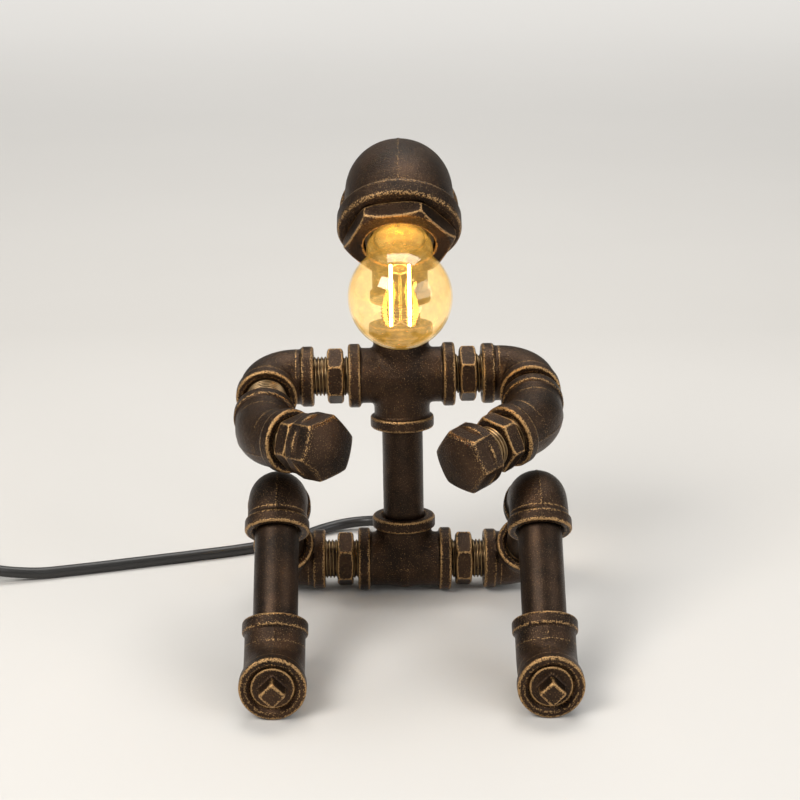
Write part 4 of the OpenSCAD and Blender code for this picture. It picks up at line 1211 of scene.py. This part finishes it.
def switch_piece(name, field, z0, z1, node):
    x, y = SWITCH_L / 2 + 1, SWITCH_W / 2 + 1
    return moulded(name, field, (-x, -y, z0 - 1), (x, y, z1 + 1), 0.55, SWITCH_AT, BLACK, "frame", node,
                   "black_plastic")


BASE = switch_piece("switch_lower_shell", shell_field(0, SEAM - 0.12, False), 0, SEAM, "switch_base")
COVER = switch_piece("switch_upper_shell", shell_field(SEAM + 0.12, SWITCH_H, True), SEAM, SWITCH_H,
                     "switch_cover")

CROWN_R = 12
MARK_X, MARK_Z, MARK_R, MARK_LINE = 5.2, 5.2, 1.5, 0.45


def rocker_field(x, y, z):
    """Rocker with a crowned face, its sunk ring and bar, and its pin."""
    d = smax(np.abs(x) - ROCKER_L / 2, np.abs(y) - ROCKER_W / 2, 0.8)
    d = smax(d, np.hypot(x, z - (SWITCH_H + 2 - CROWN_R - ROCKER_Z)) - CROWN_R, 0.8)
    d = smax(d, -3 - z, 0.5)
    circle = np.hypot(np.hypot(x - MARK_X, y) - MARK_R, z - MARK_Z)
    bar = np.hypot(np.hypot(x + MARK_X, z - MARK_Z), np.maximum(np.abs(y) - MARK_R, 0))
    for mark in (circle, bar):
        d = smax(d, MARK_LINE - mark, 0.2)
    return np.minimum(d, np.maximum(np.hypot(x, z) - 1.45, np.abs(y) - 6.6))


ROCKER = moulded("rocker_button", rocker_field, (-9.5, -7.5, -4), (9.5, 7.5, 8), 0.3,
                 SWITCH_AT @ move(0, 0, ROCKER_Z) @ about((0, 1, 0), ROCKER_TILT), IVORY, "rocker",
                 "switch_rocker", "rocker")

PLUG_FRAME = move(*PLUG_AT) @ aim(-RIGHT, UP)
PLUG_L, PLUG_TAIL, PLUG_W, PLUG_H = 34, 17, 26, 14
PIN_R, PIN_L, PIN_X = 2, 19, 9.5


def plug_field(x, y, z):
    """Plug along +Z: a ribbed sleeve round the cord and a flared body with a grip on both sides."""
    sleeve_r = 4 + 1.5 * np.clip(z / (PLUG_TAIL - 1), 0, 1)
    sleeve = np.maximum(np.hypot(x, y) - sleeve_r, np.abs(z - 9) - 9)
    sleeve = sleeve + 0.45 * np.exp(-(((z % 2.6) - 1.3) / 0.4) ** 2) * (z > 1.5) * (z < 13)
    spread = np.clip((z - PLUG_TAIL) / 8.5, 0, 1)
    half = PLUG_H / 2 + (PLUG_W / 2 - PLUG_H / 2) * spread
    head = smax(np.abs(x) - PLUG_H / 2, (np.abs(y) - half) * 0.8, 3.0)
    head = smax(head, z - PLUG_L, 1.0)
    head = smax(head, PLUG_TAIL - z, 1.0)
    head = smax(head, -(np.hypot(np.abs(x) - PLUG_H / 2 - 5.2, z - PLUG_TAIL - 9) - 5.6), 0.8)
    return smax(smin(sleeve, head, 1.0), -z, 0.3)


PLUG_BODY = moulded("plug_moulding", plug_field, (-8, -14, -1), (8, 14, PLUG_L + 1), 0.5, PLUG_FRAME, RUBBER,
                    "frame", "plug_body", "rubber")
pin = lathe(rounded([(0, 0), (PIN_R, 0), (PIN_R, PIN_L), (0, PIN_L)], 0.9), 24)
v, f, _ = join(*[placed(pin, move(0, y, PLUG_L)) for y in (-PIN_X, PIN_X)])
PINS = add_mesh("plug_pin_pair", v, f, PLUG_FRAME, NICKEL, "frame", ["plug_pins"], "pins")

# ---------- floor and light


def add_stage():
    me = bpy.data.meshes.new("floor")
    v, f = [], []
    xs = np.linspace(-4, 4, 9)
    prof = [(-3.0, 0.0), (1.6, 0.0), (2.2, 0.03), (2.7, 0.16), (3.1, 0.42), (3.35, 0.85), (3.45, 1.5),
            (3.5, 4.0)]
    for y, z in prof:
        v += [(x, y, z - 0.0002) for x in xs]
    for i in range(len(prof) - 1):
        for k in range(len(xs) - 1):
            a = i * len(xs) + k
            f.append((a, a + 1, a + len(xs) + 1, a + len(xs)))
    me.from_pydata(v, [], f)
    me.polygons.foreach_set("use_smooth", [True] * len(me.polygons))
    m = Nodes("backdrop")
    m.use(Base_Color=m.mix(m.noise(3, 3, 0.5), (0.60, 0.585, 0.56), (0.64, 0.625, 0.60)), Roughness=0.75,
          Specular_IOR_Level=0.25)
  # the far end of the sheet is lit a little more for the camera
    split = m.add("ShaderNodeSeparateXYZ")
    m.link(m.where, split.inputs[0])
    far = m.math("MULTIPLY", m.math("SUBTRACT", split.outputs["Y"], 0.5), 0.45, clamp=True)
    seen = m.add("ShaderNodeLightPath").outputs["Is Camera Ray"]
    m.use(Emission_Color=(0.62, 0.61, 0.59), Emission_Strength=m.math("MULTIPLY", far, seen))
    me.materials.append(m.mat)
    ob = bpy.data.objects.new("floor", me)
    scene.collection.objects.link(ob)


def add_area(name, at, target, size, power, colour):
    light = bpy.data.lights.new(name, "AREA")
    light.shape = "RECTANGLE"
    light.size, light.size_y = size
    light.energy = power
    light.color = colour
    ob = bpy.data.objects.new(name, light)
    scene.collection.objects.link(ob)
    ob.location = at
    ob.rotation_euler = (Vector(target) - Vector(at)).to_track_quat("-Z", "Y").to_euler()


add_stage()
add_area("key", (-0.9, -1.0, 1.3), (0, -0.05, 0.1), (0.9, 0.7), 26, (1.0, 0.97, 0.93))
add_area("fill", (1.2, -0.9, 0.8), (0, -0.05, 0.12), (1.1, 0.9), 11, (0.95, 0.97, 1.0))
add_area("top", (0.1, 0.5, 1.5), (0, -0.05, 0.12), (1.2, 0.8), 16, (1.0, 0.98, 0.95))

world = bpy.data.worlds.new("studio")
world.use_nodes = True
back = world.node_tree.nodes["Background"]
back.inputs["Color"].default_value = (0.80, 0.79, 0.77, 1)
back.inputs["Strength"].default_value = 0.35
scene.world = world
scene.view_settings.view_transform = "Standard"
